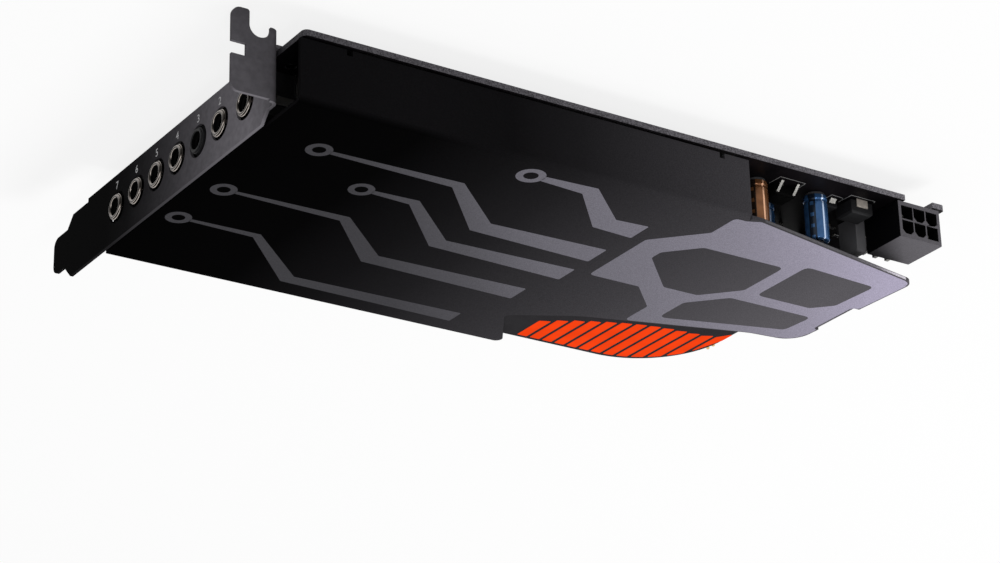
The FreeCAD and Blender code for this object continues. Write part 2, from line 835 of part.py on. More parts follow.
def make_screws():
    """Screws of the cover's pillars and leg, from the solder face, and of the bracket's feet."""
    long_screw = make_screw_master("cover_screw_master", "board_thickness + pillar_screw_depth")
    leg_screw = make_screw_master("leg_screw_master", "board_thickness + cover_sheet")
    spread("cover_screws", (long_screw, [(x, y, BOARD_BOTTOM) for x, y in PILLAR_PLACES]),
           (leg_screw, [(*LEG_SCREW, BOARD_BOTTOM)]))
    short = "board_thickness + bracket_sheet"
    foot_screw = make_screw_master("bracket_screw_master", short)
    level = f"({BOARD_BOTTOM} - bracket_sheet)"
    spread("bracket_screws", (foot_screw, [(x, y, level) for x, y in FOOT_PLACES]))


def make_jacks():
    """Housings, sleeves and side springs of the round jacks."""
    housing = new_body("jack_housing_master")
    outline = new_sketch(housing, "YZ_Plane", "HousingOutline")
    side = "(body_width / 2)"
    crown = "(body_height - jack_height)"
    draw_outline(outline, [
        (f"(0 - {side})", "0 - jack_height"),
        (side, "0 - jack_height"),
        (side, f"({crown} - body_chamfer)"),
        (f"({side} - body_chamfer)", crown),
        (f"(body_chamfer - {side})", crown),
        (f"(0 - {side})", f"({crown} - body_chamfer)"),
    ])
    pad(housing, outline, "body_length", "Housing")
    bore = new_sketch(housing, "YZ_Plane", "Bore")
    draw_circle(bore, "0", "0", "jack_bore")
    pocket(housing, bore, "jack_depth - ring_proud - bracket_sheet - body_gap", "BoreCut", reverse=True)
    ringed = [(BODY_LEFT, jack_place(number), JACK_LEVEL) for number in RINGED_JACKS]
    black = [(BODY_LEFT, jack_place(BLACK_JACK), JACK_LEVEL)]
    spread("jack_housings", (housing, ringed))
    spread("black_jack_housing", (housing, black))
    for label, radius, places in (("jack_rings", "ring_radius", ringed),
                                  ("black_jack_sleeve", "black_ring_radius", black)):
        sleeve = new_body(f"{label}_master")
        profile = new_sketch(sleeve, "XZ_Plane", "SleeveProfile")
        length = "(ring_proud + bracket_sheet + body_gap)"
        draw_outline(profile, [
            ("0", "jack_bore"),
            ("0", radius),
            (f"(0 - {length})", radius),
            (f"(0 - {length})", "jack_bore + ring_flare"),
            (f"(ring_flare - {length})", "jack_bore"),
        ])
        revolve(sleeve, profile, "H_Axis")
        spread(label, (sleeve, places))
    spring = new_body("jack_spring_master")
    outline = new_sketch(spring, "XZ_Plane", "SpringOutline")
    end = "(spring_start + spring_arm)"
    draw_outline(outline, [
        ("spring_start", "0 - spring_height / 2"),
        (f"({end} - spring_tail)", "0 - spring_height / 2"),
        (f"({end} - spring_tail)", "0 - jack_height"),
        (end, "0 - jack_height"),
        (end, "spring_height / 2"),
        ("spring_start", "spring_height / 2"),
    ])
    pad(spring, outline, "spring_sheet", "Spring")
    places = []
    for number in JACKS:
        centre = jack_place(number)
        places.append((BODY_LEFT, f"({centre} - body_width / 2)", JACK_LEVEL))
        places.append((BODY_LEFT, f"({centre} + body_width / 2 + spring_sheet)", JACK_LEVEL))
    spread("jack_springs", (spring, places))


def make_socket():
    """The six-way power socket: moulded housing with keyed cells and its square pins."""
    body = new_body("power_socket_housing")
    left = along("socket_start")
    right = f"({left} + socket_width)"
    low = f"({BOARD_TOP} + socket_foot)"
    high = f"({low} + socket_height)"
    front = f"(0 - {BOARD_NEAR})"
    outline = new_sketch(body, "XZ_Plane", "HousingOutline", front)
    draw_outline(outline, rectangle(left, low, right, high))
    pad(body, outline, "socket_length", "Housing")
    middle_x = f"({left} + socket_width / 2)"
    middle_z = f"({low} + socket_height / 2)"
    half = "(cell_size / 2)"
    pins = []
    for row in (0, 1):
        for column in (0, 1, 2):
            x = f"({middle_x} + {column - 1} * cell_pitch)"
            z = f"({middle_z} + {row - 0.5} * cell_pitch)"
            pins.append((row, x, z))
            cell = new_sketch(body, "XZ_Plane", "CellOutline", front)
            is_square = (row, column) in ((0, 0), (1, 2))
            top = [(f"({x} + {half})", f"({z} + {half})"), (f"({x} - {half})", f"({z} + {half})")]
            if not is_square:
                top = [
                    (f"({x} + {half})", f"({z} + {half} - cell_chamfer)"),
                    (f"({x} + {half} - cell_chamfer)", f"({z} + {half})"),
                    (f"({x} - {half} + cell_chamfer)", f"({z} + {half})"),
                    (f"({x} - {half})", f"({z} + {half} - cell_chamfer)"),
                ]
            draw_outline(cell, [(f"({x} - {half})", f"({z} - {half})"),
                                (f"({x} + {half})", f"({z} - {half})")] + top)
            pocket(body, cell, "cell_depth", "Cell", reverse=True)
            hole = new_sketch(body, "XZ_Plane", "PinHole", front)
            pin = "socket_pin / 2"
            draw_outline(hole, rectangle(f"({x} - {pin})", f"({z} - {pin})",
                                         f"({x} + {pin})", f"({z} + {pin})"))
            pocket(body, hole, "socket_length", "PinHoleCut", reverse=True)
    lug = new_sketch(body, "YZ_Plane", "LugProfile", f"({middle_x} - lug_width / 2)")
    lug_front = f"({BOARD_NEAR} - lug_setback)"
    draw_outline(lug, [
        (lug_front, low),
        (f"({lug_front} - lug_length)", low),
        (f"({lug_front} - lug_length)", f"({low} - lug_rise)"),
        (f"({lug_front} - lug_length / 2)", f"({low} - lug_rise)"),
    ])
    pad(body, lug, "lug_width", "Lug")
    rib = new_sketch(body, "XY_Plane", "RibOutline", BOARD_TOP)
    back = f"({BOARD_NEAR} - socket_length)"
    floor = f"({BOARD_NEAR} - latch_notch_depth)"
    for edge in (left, f"({right} - socket_rib)"):
        draw_outline(rib, rectangle(edge, back, f"({edge} + socket_rib)", f"({floor} - socket_rib)"))
    pad(body, rib, "socket_foot", "Ribs")
    kept(body)
    masters = []
    for row in (0, 1):
        pin_body = new_body(f"socket_pin_master_{row}")
        profile = new_sketch(pin_body, "YZ_Plane", "PinProfile", "0 - socket_pin / 2")
        centre = f"({middle_z} + {row - 0.5} * cell_pitch)"
        tip = "0 - socket_pin_setback"
        bend = f"(0 - socket_length - socket_pin_tail * {row + 1})"
        half_pin = "socket_pin / 2"
        draw_outline(profile, [
            (tip, f"({centre} - {half_pin})"),
            (tip, f"({centre} + {half_pin})"),
            (f"({bend} - socket_pin)", f"({centre} + {half_pin})"),
            (f"({bend} - socket_pin)", BOARD_TOP),
            (bend, BOARD_TOP),
            (bend, f"({centre} - {half_pin})"),
        ])
        pad(pin_body, profile, "socket_pin", "Pin")
        places = [(x, BOARD_NEAR, "0") for pin_row, x, z in pins if pin_row == row]
        masters.append((pin_body, places))
    spread("power_socket_pins", *masters)


def make_can(label, radius, base, height):
    """A drawn can, its foot at a height above the board."""
    body = new_body(label)
    outline = new_sketch(body, "XY_Plane", "CanOutline", base)
    draw_circle(outline, "0", "0", radius)
    pad(body, outline, f"{height} - {base}", "Can")
    return body


# Where the cans stand, as offsets along and down the board.
BRONZE_CANS = [(140.0, 10.5), (126.0, 15.0), (134.0, 27.0), (60.0, 15.0), (52.0, 15.0)]
BLUE_CANS = [(158.9, 9.6), (150.0, 20.5)]
SMALL_CANS = [(40.0, 84.0), (108.0, 62.0), (176.0, 62.0)]


def make_cans():
    """Tall bronze and blue cans on rubber bungs, and small ones on square bases."""
    tall = make_can("tall_can_master", "can_radius", "bung_height", "can_height")
    bung = new_body("bung_master")
    outline = new_sketch(bung, "XY_Plane", "BungOutline")
    draw_outline(outline, many_sided("can_radius - bung_inset", BUNG_SIDES))
    pad(bung, outline, "bung_height", "Bung")
    spread("bronze_capacitors", (tall, placed(BRONZE_CANS)))
    spread("blue_capacitors", (tall, placed(BLUE_CANS)))
    spread("capacitor_bungs", (bung, placed(BRONZE_CANS + BLUE_CANS)))
    small = make_can("small_can_master", "small_can_radius", "small_can_base_height", "small_can_height")
    base = new_body("small_can_base_master")
    outline = new_sketch(base, "XY_Plane", "BaseOutline")
    half = "(small_can_base / 2)"
    cut = "(small_can_base / 5)"
    draw_outline(outline, [
        (f"(0 - {half})", f"(0 - {half})"),
        (f"({half} - {cut})", f"(0 - {half})"),
        (half, f"({cut} - {half})"),
        (half, f"({half} - {cut})"),
        (f"({half} - {cut})", half),
        (f"(0 - {half})", half),
    ])
    pad(base, outline, "small_can_base_height", "Base")
    spread("small_capacitors", (small, placed(SMALL_CANS)))
    spread("small_capacitor_bases", (base, placed(SMALL_CANS)))


def make_chip(label, length, width, height, stand):
    """A moulded chip body with bevelled upper edges."""
    body = new_body(label)
    outline = new_sketch(body, "XY_Plane", "ChipOutline", stand)
    draw_outline(outline, centred(length, width))
    raised = pad(body, outline, f"{height} - {stand}", "Moulding")
    top = value(height)
    bevel(body, raised, lambda edge: is_level(edge, top), "chip_edge")
    return body


def make_leg(label, width, reach, rise="chip_height / 2", slope="leg_shoulder"):
    """A chip's leg, sloping down from the chip's side along +X to a foot on the board."""
    body = new_body(label)
    profile = new_sketch(body, "XZ_Plane", "LegProfile", f"(0 - {width} / 2)")
    draw_outline(profile, [
        ("0", rise),
        (slope, "0"),
        (reach, "0"),
        (reach, "leg_sheet"),
        ("0", f"{rise} + 2 * leg_sheet"),
    ])
    pad(body, profile, width, "Leg")
    return body


def leg_row(x, y, side, count, pitch, turn):
    """Places of one side's legs: side is the chip's half extent towards that side."""
    places = []
    for number in range(count):
        step = f"({number - (count - 1) / 2} * {pitch})"
        if turn in (0, 180):
            sign = "+" if turn == 0 else "-"
            places.append((f"({x} {sign} {side})", f"({y} + {step})", BOARD_TOP, turn))
        else:
            sign = "+" if turn == 90 else "-"
            places.append((f"({x} + {step})", f"({y} {sign} {side})", BOARD_TOP, turn))
    return places


PROCESSOR = (84.0, 70.0)
CONTROLLER = (54.0, 78.0)
CONVERTERS = [(47.0, 48.0), (47.0, 34.0)]
AMPLIFIERS = [(33.0, 30.0), (33.0, 46.0), (33.0, 62.0)]
# How many legs the chips have on a side.
PROCESSOR_LONG_LEGS = 12
PROCESSOR_SHORT_LEGS = 8
CONVERTER_LEGS = 8
AMPLIFIER_LEGS = 4


def make_chips():
    """The audio processor, the bus controller, the converters and the amplifiers, with their legs."""
    processor = make_chip("audio_processor", "processor_length", "processor_width",
                          "chip_height", "chip_stand")
    seat(processor, PROCESSOR)
    x, y = along(PROCESSOR[0]), down(PROCESSOR[1])
    leg = make_leg("processor_leg_master", "processor_leg_width", "processor_leg_reach")
    places = []
    for turn in (0, 180):
        places += leg_row(x, y, "processor_length / 2", PROCESSOR_SHORT_LEGS, "processor_pitch", turn)
    for turn in (90, 270):
        places += leg_row(x, y, "processor_width / 2", PROCESSOR_LONG_LEGS, "processor_pitch", turn)
    spread("audio_processor_legs", (leg, places))
    controller = make_chip("bus_controller", "controller_size", "controller_size", "controller_height", "0")
    seat(controller, CONTROLLER)
    chip = make_chip("converter_master", "converter_length", "converter_width", "chip_height", "chip_stand")
    leg = make_leg("converter_leg_master", "converter_leg_width", "converter_leg_reach")
    centres = [(along(a), down(b)) for a, b in CONVERTERS]
    spread("audio_converters", (chip, [(x, y, BOARD_TOP) for x, y in centres]))
    places = []
    for x, y in centres:
        for turn in (90, 270):
            places += leg_row(x, y, "converter_width / 2", CONVERTER_LEGS, "converter_pitch", turn)
    spread("audio_converter_legs", (leg, places))
    chip = make_chip("amplifier_master", "amplifier_length", "amplifier_width", "chip_height", "chip_stand")
    leg = make_leg("amplifier_leg_master", "amplifier_leg_width", "amplifier_leg_reach")
    centres = [(along(a), down(b)) for a, b in AMPLIFIERS]
    spread("amplifier_chips", (chip, [(x, y, BOARD_TOP) for x, y in centres]))
    places = []
    for x, y in centres:
        for turn in (90, 270):
            places += leg_row(x, y, "amplifier_width / 2", AMPLIFIER_LEGS, "amplifier_pitch", turn)
    spread("amplifier_chip_legs", (leg, places))


def seat(body, offset):
    """Puts a single body in its place on the board and keeps it."""
    for axis, place in zip("xyz", placed([offset])[0]):
        body.setExpression(f"Placement.Base.{axis}", linked(place))
    kept(body)


def make_edged_block(label, length, width, height, edge, lift="0"):
    """A moulded block centred on its foot, with bevelled upper edges."""
    body = new_body(label)
    outline = new_sketch(body, "XY_Plane", "BlockOutline", lift)
    draw_outline(outline, centred(length, width))
    raised = pad(body, outline, height, "Moulding")
    top = value(f"{lift} + {height}")
    bevel(body, raised, lambda item: is_level(item, top), edge)
    return body


RELAYS = [(22.0, 24.5), (22.0, 37.5), (22.0, 50.5), (22.0, 63.5), (22.0, 76.5)]
FILMS = [(60.0, 30.0), (66.0, 30.0), (72.0, 30.0), (60.0, 44.0), (66.0, 44.0)]
COILS = [(160.0, 30.0), (122.0, 35.0)]
LARGE_COIL = (171.7, 9.1)
BLACK_FILM = (177.8, 17.7)
POWER_REGULATOR = (148.4, 11.7)
DIODE = (164.4, 11.4)
CRYSTALS = [(57.0, 62.0), (100.0, 89.0)]
REGULATORS = [(84.0, 24.0), (96.0, 24.0), (166.0, 44.0), (134.0, 44.0)]
LAMPS = [(124.0, 80.0), (138.0, 86.0), (154.0, 86.0), (166.0, 78.0)]
# Rows of chip parts: the first one's offsets, the steps along and down to the next, and how many.
CERAMIC_ROWS = [
    (34.0, 90.0, 6.0, 0.0, 3),
    (69.0, 58.0, 5.0, 0.0, 7),
    (69.0, 83.0, 5.0, 0.0, 5),
    (76.0, 36.0, 5.0, 0.0, 3),
    (167.3, 16.9, 5.8, 5.5, 2),
]
RESISTOR_ROWS = [
    (39.2, 26.0, 0.0, 4.0, 9),
    (112.0, 82.0, 4.0, 0.0, 3),
    (140.0, 58.0, 5.0, 0.0, 4),
    (175.5, 23.3, 4.5, 3.4, 2),
]


def make_small_parts():
    """Relays, film capacitors, coils, crystals, regulators, lamps and chip parts."""
    relay = make_edged_block("relay_master", "relay_length", "relay_width", "relay_height", "relay_edge")
    spread("output_relays", (relay, placed(RELAYS)))
    film = make_edged_block("film_master", "film_width", "film_length", "film_height", "film_edge")
    spread("film_capacitors", (film, placed(FILMS)))
    film = make_edged_block("black_film_capacitor", "black_film_width", "film_length",
                            "film_height", "film_edge")
    seat(film, BLACK_FILM)
    coil = make_edged_block("coil_master", "coil_length", "coil_width",
                            "coil_height", "coil_edge", "coil_lift")
    spread("choke_coils", (coil, placed(COILS)))
    blade = block("coil_blade_master", ("0", "0", "0"), ("coil_blade", "coil_blade_sheet", "coil_lift"))
    places = []
    for x, y, z in placed(COILS):
        for side in ("-", "+"):
            across = f"({x} {side} coil_blade_span / 2 - coil_blade / 2)"
            places.append((across, f"({y} + coil_width / 2 - coil_blade_sheet)", z))
            places.append((across, f"({y} - coil_width / 2)", z))
    spread("choke_coil_blades", (blade, places))
    make_crystals()
    regulator = make_edged_block("regulator_master", "regulator_length", "regulator_width",
                                 "regulator_height", "coil_edge")
    spread("regulators", (regulator, placed(REGULATORS)))
    tab = block("regulator_tab_master", ("0", "0", "0"),
                ("regulator_tab_width", "regulator_tab", "regulator_tab_sheet"))
    spread("regulator_tabs", (tab, [(f"({x} - regulator_tab_width / 2)", f"({y} + regulator_width / 2)", z)
                                    for x, y, z in placed(REGULATORS)]))
    lamp = new_body("lamp_master")
    outline = new_sketch(lamp, "XY_Plane", "LampOutline")
    draw_outline(outline, centred("lamp_length", "lamp_width"))
    pad(lamp, outline, "lamp_height", "Base")
    spread("window_lamps", (lamp, placed(LAMPS)))
    for label, rows, height in (("ceramic_capacitors", CERAMIC_ROWS, "chip_part_height"),
                                ("chip_resistors", RESISTOR_ROWS, "chip_part_height / 2")):
        master = block(f"{label}_master", ("0", "0", "0"), ("chip_part_length", "chip_part_width", height))
        offsets = [(x + number * step_along, y + number * step_down)
                   for x, y, step_along, step_down, count in rows for number in range(count)]
        spread(label, (master, [(f"({x} - chip_part_length / 2)", f"({y} - chip_part_width / 2)", z)
                                for x, y, z in placed(offsets)]))


def make_crystals():
    """Flat metal cans with round ends on plain base plates."""
    crystal = new_body("crystal_master")
    base = new_sketch(crystal, "XY_Plane", "BaseOutline")
    draw_outline(base, centred("crystal_length + 2 * crystal_flange", "crystal_width + 2 * crystal_flange"))
    pad(crystal, base, "crystal_flange_height", "Base")
    can = new_sketch(crystal, "XY_Plane", "CanOutline", "crystal_flange_height")
    draw_outline(can, centred("crystal_length", "crystal_width", "crystal_rounding"))
    pad(crystal, can, "crystal_height - crystal_flange_height", "Can")
    spread("clock_crystals", (crystal, placed(CRYSTALS)))


def make_power_parts():
    """What stands at the open end: the large coil, the power regulator and the diode."""
    coil = make_edged_block("large_coil", "large_coil_length", "large_coil_width", "large_coil_height",
                            "coil_edge", "large_coil_lift")
    seat(coil, LARGE_COIL)
    x, y = along(LARGE_COIL[0]), down(LARGE_COIL[1])
    clip = block("clip_master", ("0", "0", "0"), ("clip_width", "clip_sheet", "clip_height"))
    clip_x = f"({x} - clip_width / 2)"
    spread("large_coil_clips", (clip, [(clip_x, f"({y} + large_coil_width / 2)", BOARD_TOP),
                                       (clip_x, f"({y} - large_coil_width / 2 - clip_sheet)", BOARD_TOP)]))
    regulator = make_edged_block("power_regulator", "power_regulator_length", "power_regulator_width",
                                 "power_regulator_height", "coil_edge")
    seat(regulator, POWER_REGULATOR)
    x, y = along(POWER_REGULATOR[0]), down(POWER_REGULATOR[1])
    leg = make_leg("power_leg_master", "power_leg_width", "power_leg_reach",
                   "power_leg_rise", "power_leg_slope")
    spread("power_regulator_legs", (leg, leg_row(x, y, "power_regulator_width / 2", 2, "power_leg_span", 90)))
    diode = make_edged_block("rectifier_diode", "diode_length", "diode_width", "diode_height", "chip_edge")
    seat(diode, DIODE)
    x, y = along(DIODE[0]), down(DIODE[1])
    tab = make_leg("diode_tab_master", "diode_tab_width", "diode_tab_reach")
    places = []
    for turn in (90, 270):
        places += leg_row(x, y, "diode_width / 2", 1, "diode_tab_width", turn)
    spread("rectifier_diode_tabs", (tab, places))


HEADER = (181.0, 92.0)
HEADER_COLUMNS = 5
HEADER_ROWS = 2


def make_header():
    """The two-row pin header for the case's front sockets, with one pin left out as a key."""
    width = f"({HEADER_COLUMNS - 1} * header_pitch + 2 * header_overhang)"
    depth = f"({HEADER_ROWS - 1} * header_pitch + 2 * header_overhang)"
    x, y = along(HEADER[0]), down(HEADER[1])
    body = new_body("front_panel_header")
    outline = new_sketch(body, "XY_Plane", "HeaderOutline", BOARD_TOP)
    draw_outline(outline, rectangle(f"({x} - {width} / 2)", f"({y} - {depth} / 2)",
                                    f"({x} + {width} / 2)", f"({y} + {depth} / 2)"))
    pad(body, outline, "header_floor", "Strip")
    holes = new_sketch(body, "XY_Plane", "PinHoles", f"({BOARD_TOP} + header_floor)")
    half = "header_pin / 2"
    places = []
    for row in range(HEADER_ROWS):
        for column in range(HEADER_COLUMNS):
            if (row, column) == (1, HEADER_COLUMNS - 2):
                continue
            pin_x = f"({x} + {column - (HEADER_COLUMNS - 1) / 2} * header_pitch)"
            pin_y = f"({y} + {row - (HEADER_ROWS - 1) / 2} * header_pitch)"
            draw_outline(holes, rectangle(f"({pin_x} - {half})", f"({pin_y} - {half})",
                                          f"({pin_x} + {half})", f"({pin_y} + {half})"))
            places.append((f"({pin_x} - {half})", f"({pin_y} - {half})", BOARD_TOP))
    pocket(body, holes, "header_floor", "PinHoleCuts")
    kept(body)
    pin = block("header_pin_master", ("0", "0", "0"), ("header_pin", "header_pin", "header_pin_height"))
    spread("front_panel_pins", (pin, places))


make_board()
make_contacts()
make_bracket()
make_cover()
make_window()
make_pillars()
make_screws()
make_jacks()
make_socket()
make_cans()
make_chips()
make_small_parts()
make_power_parts()
make_header()
doc.recompute()

for item in doc.Objects:
    faults = {"Invalid", "Error"} & set(item.State)
    if faults:
        raise RuntimeError(f"{item.Label} did not build: {sorted(faults)}")
for node in nodes:
    if node.Shape.isNull() or not node.Shape.isValid():
        raise RuntimeError(f"{node.Label} has no sound shape")

os.makedirs("parts", exist_ok=True)
for node in nodes:
    node.Shape.exportStep(os.path.join("parts", f"{node.Label}.step"))
    box = node.Shape.BoundBox
    print(f"{node.Label}: {len(node.Shape.Solids)} solids, {box.XMin:.2f} to {box.XMax:.2f}, "
          f"{box.YMin:.2f} to {box.YMax:.2f}, {box.ZMin:.2f} to {box.ZMax:.2f}")
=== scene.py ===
# %% [markdown]
# # A sound card, lying solder side down
#
# The card is a printed circuit board with a folded steel bracket at one end, a printed sheet cover over its
# component face, and a power socket at its free end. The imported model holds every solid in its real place,
# so this lesson loads it first and then dresses it: finer surfaces where the eye stops, and a finish for
# each piece.

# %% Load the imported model
import math

import bmesh
import bpy
import numpy as np
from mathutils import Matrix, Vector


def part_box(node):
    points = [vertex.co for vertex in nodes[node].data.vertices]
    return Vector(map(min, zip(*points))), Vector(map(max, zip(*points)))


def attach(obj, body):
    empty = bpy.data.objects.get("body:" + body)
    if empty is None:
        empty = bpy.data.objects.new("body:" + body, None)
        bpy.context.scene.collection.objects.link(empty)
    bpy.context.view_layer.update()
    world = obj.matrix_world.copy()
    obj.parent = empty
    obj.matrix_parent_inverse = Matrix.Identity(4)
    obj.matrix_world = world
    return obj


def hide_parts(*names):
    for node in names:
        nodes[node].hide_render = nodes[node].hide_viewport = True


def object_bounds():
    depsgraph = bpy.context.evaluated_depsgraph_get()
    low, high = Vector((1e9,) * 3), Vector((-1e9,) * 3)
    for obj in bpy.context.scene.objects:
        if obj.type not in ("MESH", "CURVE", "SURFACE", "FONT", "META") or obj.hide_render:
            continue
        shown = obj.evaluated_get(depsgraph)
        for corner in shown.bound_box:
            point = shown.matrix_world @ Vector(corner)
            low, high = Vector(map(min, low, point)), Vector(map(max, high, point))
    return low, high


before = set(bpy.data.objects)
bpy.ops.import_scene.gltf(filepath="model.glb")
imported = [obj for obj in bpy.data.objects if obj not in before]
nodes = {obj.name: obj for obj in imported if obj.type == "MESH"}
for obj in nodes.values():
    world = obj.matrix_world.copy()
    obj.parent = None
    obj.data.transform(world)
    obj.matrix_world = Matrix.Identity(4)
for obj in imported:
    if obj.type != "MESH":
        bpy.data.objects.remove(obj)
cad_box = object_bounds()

MM = 0.001
print("solids' nodes:", len(nodes), "box:", [round(side / MM, 1) for corner in cad_box for side in corner])

# %% [markdown]
# ## Where the solids are
#
# Many nodes hold several separate solids, such as the cans or the screws. A finer piece has to stand
# exactly where each of them stands. Instead of repeating a table of places, we read them from the model:
# the triangles are merged where they touch, each connected island is one solid, and its box gives its
# place.

# %% Find each solid of a node
MERGE_REACH = 2e-6


def solids_of(name):
    """The lowest and highest corner of every solid of a node, as an array (solid, corner, axis) in metres."""
    work = bmesh.new()
    work.from_mesh(nodes[name].data)
    bmesh.ops.remove_doubles(work, verts=work.verts, dist=MERGE_REACH)
    waiting = set(work.verts)
    boxes = []
    for first in work.verts:
        if first not in waiting:
            continue
        waiting.discard(first)
        island = [first]
        for vertex in island:
            for edge in vertex.link_edges:
                other = edge.other_vert(vertex)
                if other in waiting:
                    waiting.discard(other)
                    island.append(other)
        places = np.array([vertex.co for vertex in island])
        boxes.append([places.min(axis=0), places.max(axis=0)])
    work.free()
    return np.array(boxes)


def feet_of(name):
    """The point on the board under the middle of each solid of a node."""
    boxes = solids_of(name)
    feet = boxes.mean(axis=1)
    feet[:, 2] = boxes[:, 0, 2]
    return feet


def round_size(name):
    """The radius and the height of a node's upright round solids, which are all alike."""
    low, high = solids_of(name)[0]
    return (high[0] - low[0]) / 2, high[2] - low[2]


BOARD_BOTTOM, BOARD_TOP = [corner[2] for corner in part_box("circuit_board")]
print("tall cans:", len(feet_of("bronze_capacitors")) + len(feet_of("blue_capacitors")))

# %% [markdown]
# ## Surfaces as arrays
#
# Every new piece is a surface of two parameters. A grid of points is worked out with numpy, and the faces
# are the quads between neighbouring points. A turned piece is the simplest case: one parameter runs along
# its profile, and the other round its axis.

# %% Grids and turned pieces
def grid_faces(rows, columns, wrap_rows=False, wrap_columns=True):
    """Quads of a grid: (row, column), (row, column + 1), (row + 1, column + 1), (row + 1, column)."""
    row, column = np.meshgrid(np.arange(rows if wrap_rows else rows - 1),
                              np.arange(columns if wrap_columns else columns - 1), indexing="ij")
    next_row = (row + 1) % rows
    next_column = (column + 1) % columns
    quads = np.stack([row * columns + column, row * columns + next_column,
                      next_row * columns + next_column, next_row * columns + column], axis=-1)
    return quads.reshape(-1, 4).tolist()


def turned(profile, sides=40, closed=False):
    """A profile of (radius, height) turned about Z.

    x = radius * cos(turn), y = radius * sin(turn), z = height. The profile runs up the outside. A closed
    profile makes a ring, and an open one gets a flat face at each end.
    """
    profile = np.asarray(profile, float)
    turn = np.linspace(0, 2 * math.pi, sides, endpoint=False)
    radius = profile[:, :1]
    height = np.broadcast_to(profile[:, 1:], (len(profile), sides))
    points = np.stack([radius * np.cos(turn), radius * np.sin(turn), height], axis=-1).reshape(-1, 3)
    faces = grid_faces(len(profile), sides, wrap_rows=closed)
    if not closed:
        faces.append(list(range(sides))[::-1])
        faces.append(list(range((len(profile) - 1) * sides, len(profile) * sides)))
    return points, faces


print("a turned test ring has", len(turned([(1, 0), (2, 0), (2, 1), (1, 1)], 12, closed=True)[1]), "faces")

# %% [markdown]
# Print, tracks and level bars are thin slabs: an outline at two heights. Corners of such an outline are
# rounded by a short curve, and a band along a path is the path shifted to both sides.

# %% Slabs, rounded outlines and ribbons
def slab(outline, low, high):
    """A closed slab: a counter-clockwise outline at two heights, with a face at each end."""
    count = len(outline)
    points = np.concatenate([np.column_stack([outline, np.full(count, height)]) for height in (low, high)])
    faces = [[i, (i + 1) % count, (i + 1) % count + count, i + count] for i in range(count)]
    faces.append(list(range(count))[::-1])
    faces.append(list(range(count, 2 * count)))
    return points, faces


def rounded(corners, radius, steps=5):
    """An outline with rounded corners.

    At each corner the outline is (1 - t)^2 * start + 2 * t * (1 - t) * corner + t^2 * end, where start and
    end lie on the two sides, radius / tan(half the corner's angle) away from it.
    """
    corners = np.asarray(corners, float)
    back = np.roll(corners, 1, axis=0) - corners
    ahead = np.roll(corners, -1, axis=0) - corners
    back_length = np.linalg.norm(back, axis=1, keepdims=True)
    ahead_length = np.linalg.norm(ahead, axis=1, keepdims=True)
    back = back / back_length
    ahead = ahead / ahead_length
    half = np.arccos(np.clip((back * ahead).sum(axis=1, keepdims=True), -1, 1)) / 2
    reach = np.minimum(radius / np.tan(half), 0.48 * np.minimum(back_length, ahead_length))
    t = np.linspace(0, 1, steps)[None, :, None]
    start = (corners + back * reach)[:, None]
    end = (corners + ahead * reach)[:, None]
    curve = (1 - t) ** 2 * start + 2 * t * (1 - t) * corners[:, None] + t ** 2 * end
    return curve.reshape(-1, 2)


def box_outline(left, low, right, high):
    """The corners of an upright rectangle, counter-clockwise."""
    return [(left, low), (right, low), (right, high), (left, high)]


def ribbon(path, widths):
    """The outline of a band along a path, with a width at each point or one width for all.

    Each point is shifted to both sides along its mitre, by half the width / cos(half the turn there).
    """
    path = np.asarray(path, float)
    step = np.diff(path, axis=0)
    step = step / np.linalg.norm(step, axis=1, keepdims=True)
    before = np.vstack([step[:1], step])
    after = np.vstack([step, step[-1:]])
    ahead = before + after
    ahead = ahead / np.linalg.norm(ahead, axis=1, keepdims=True)
    stretch = 1 / (ahead * before).sum(axis=1, keepdims=True)
    side = np.column_stack([-ahead[:, 1], ahead[:, 0]]) * stretch * np.reshape(widths, (-1, 1)) / 2
    return np.vstack([path - side, (path + side)[::-1]])


print("a rounded square has", len(rounded(box_outline(0, 0, 1, 1), 0.2)), "points")

# %% [markdown]
# Pieces that are alike are one set of points, shifted to many places. The last helper turns points and
# faces into an object. Its place stays in its mesh, and the object itself stands at the origin, unturned.

# %% Copies, and from arrays to a piece
def shifted(part, places):
    """Copies of a part, one at each place: every point plus the place."""
    points, faces = part
    places = np.atleast_2d(places)
    count = len(points)
    moved = (points[None] + places[:, None]).reshape(-1, 3)
    copied = [[index + copy * count for index in face] for copy in range(len(places)) for face in faces]
    return moved, copied


def gathered(parts):
    """Several parts as one set of points and faces."""
    points = []
    faces = []
    start = 0
    for part_points, part_faces in parts:
        points.append(part_points)
        faces += [[index + start for index in face] for face in part_faces]
        start += len(part_points)
    return np.concatenate(points), faces


def in_scene(name, data):
    """A new object in the scene, at the origin."""
    thing = bpy.data.objects.new(name, data)
    bpy.context.scene.collection.objects.link(thing)
    return thing


def made(name, part, material, replaces=(), smooth=False):
    """A piece from points and faces. It rides on the card."""
    points, faces = part
    mesh = bpy.data.meshes.new(name)
    mesh.from_pydata(np.asarray(points).tolist(), [], faces)
    mesh.materials.append(material)
    if smooth:
        mesh.shade_smooth()
        mesh.set_sharp_from_angle(angle=math.radians(38))
    mesh.update()
    piece = in_scene(name, mesh)
    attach(piece, "root")
    if replaces:
        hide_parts(*replaces)
    print(f"{name}: {len(mesh.polygons)} faces")
    return piece


# %% [markdown]
# ## Edges that catch the light
#
# No moulded or folded piece has a perfectly sharp edge, and the thin bright line along an edge is what
# makes it look solid. For pieces whose form is right in the model we copy the mesh, merge its loose
# triangles, and let a Bevel modifier round each edge by a tenth or two of a millimetre. A Weighted Normal
# modifier then shades each large face as flat and leaves the turn of the light to the small faces along the
# edges.

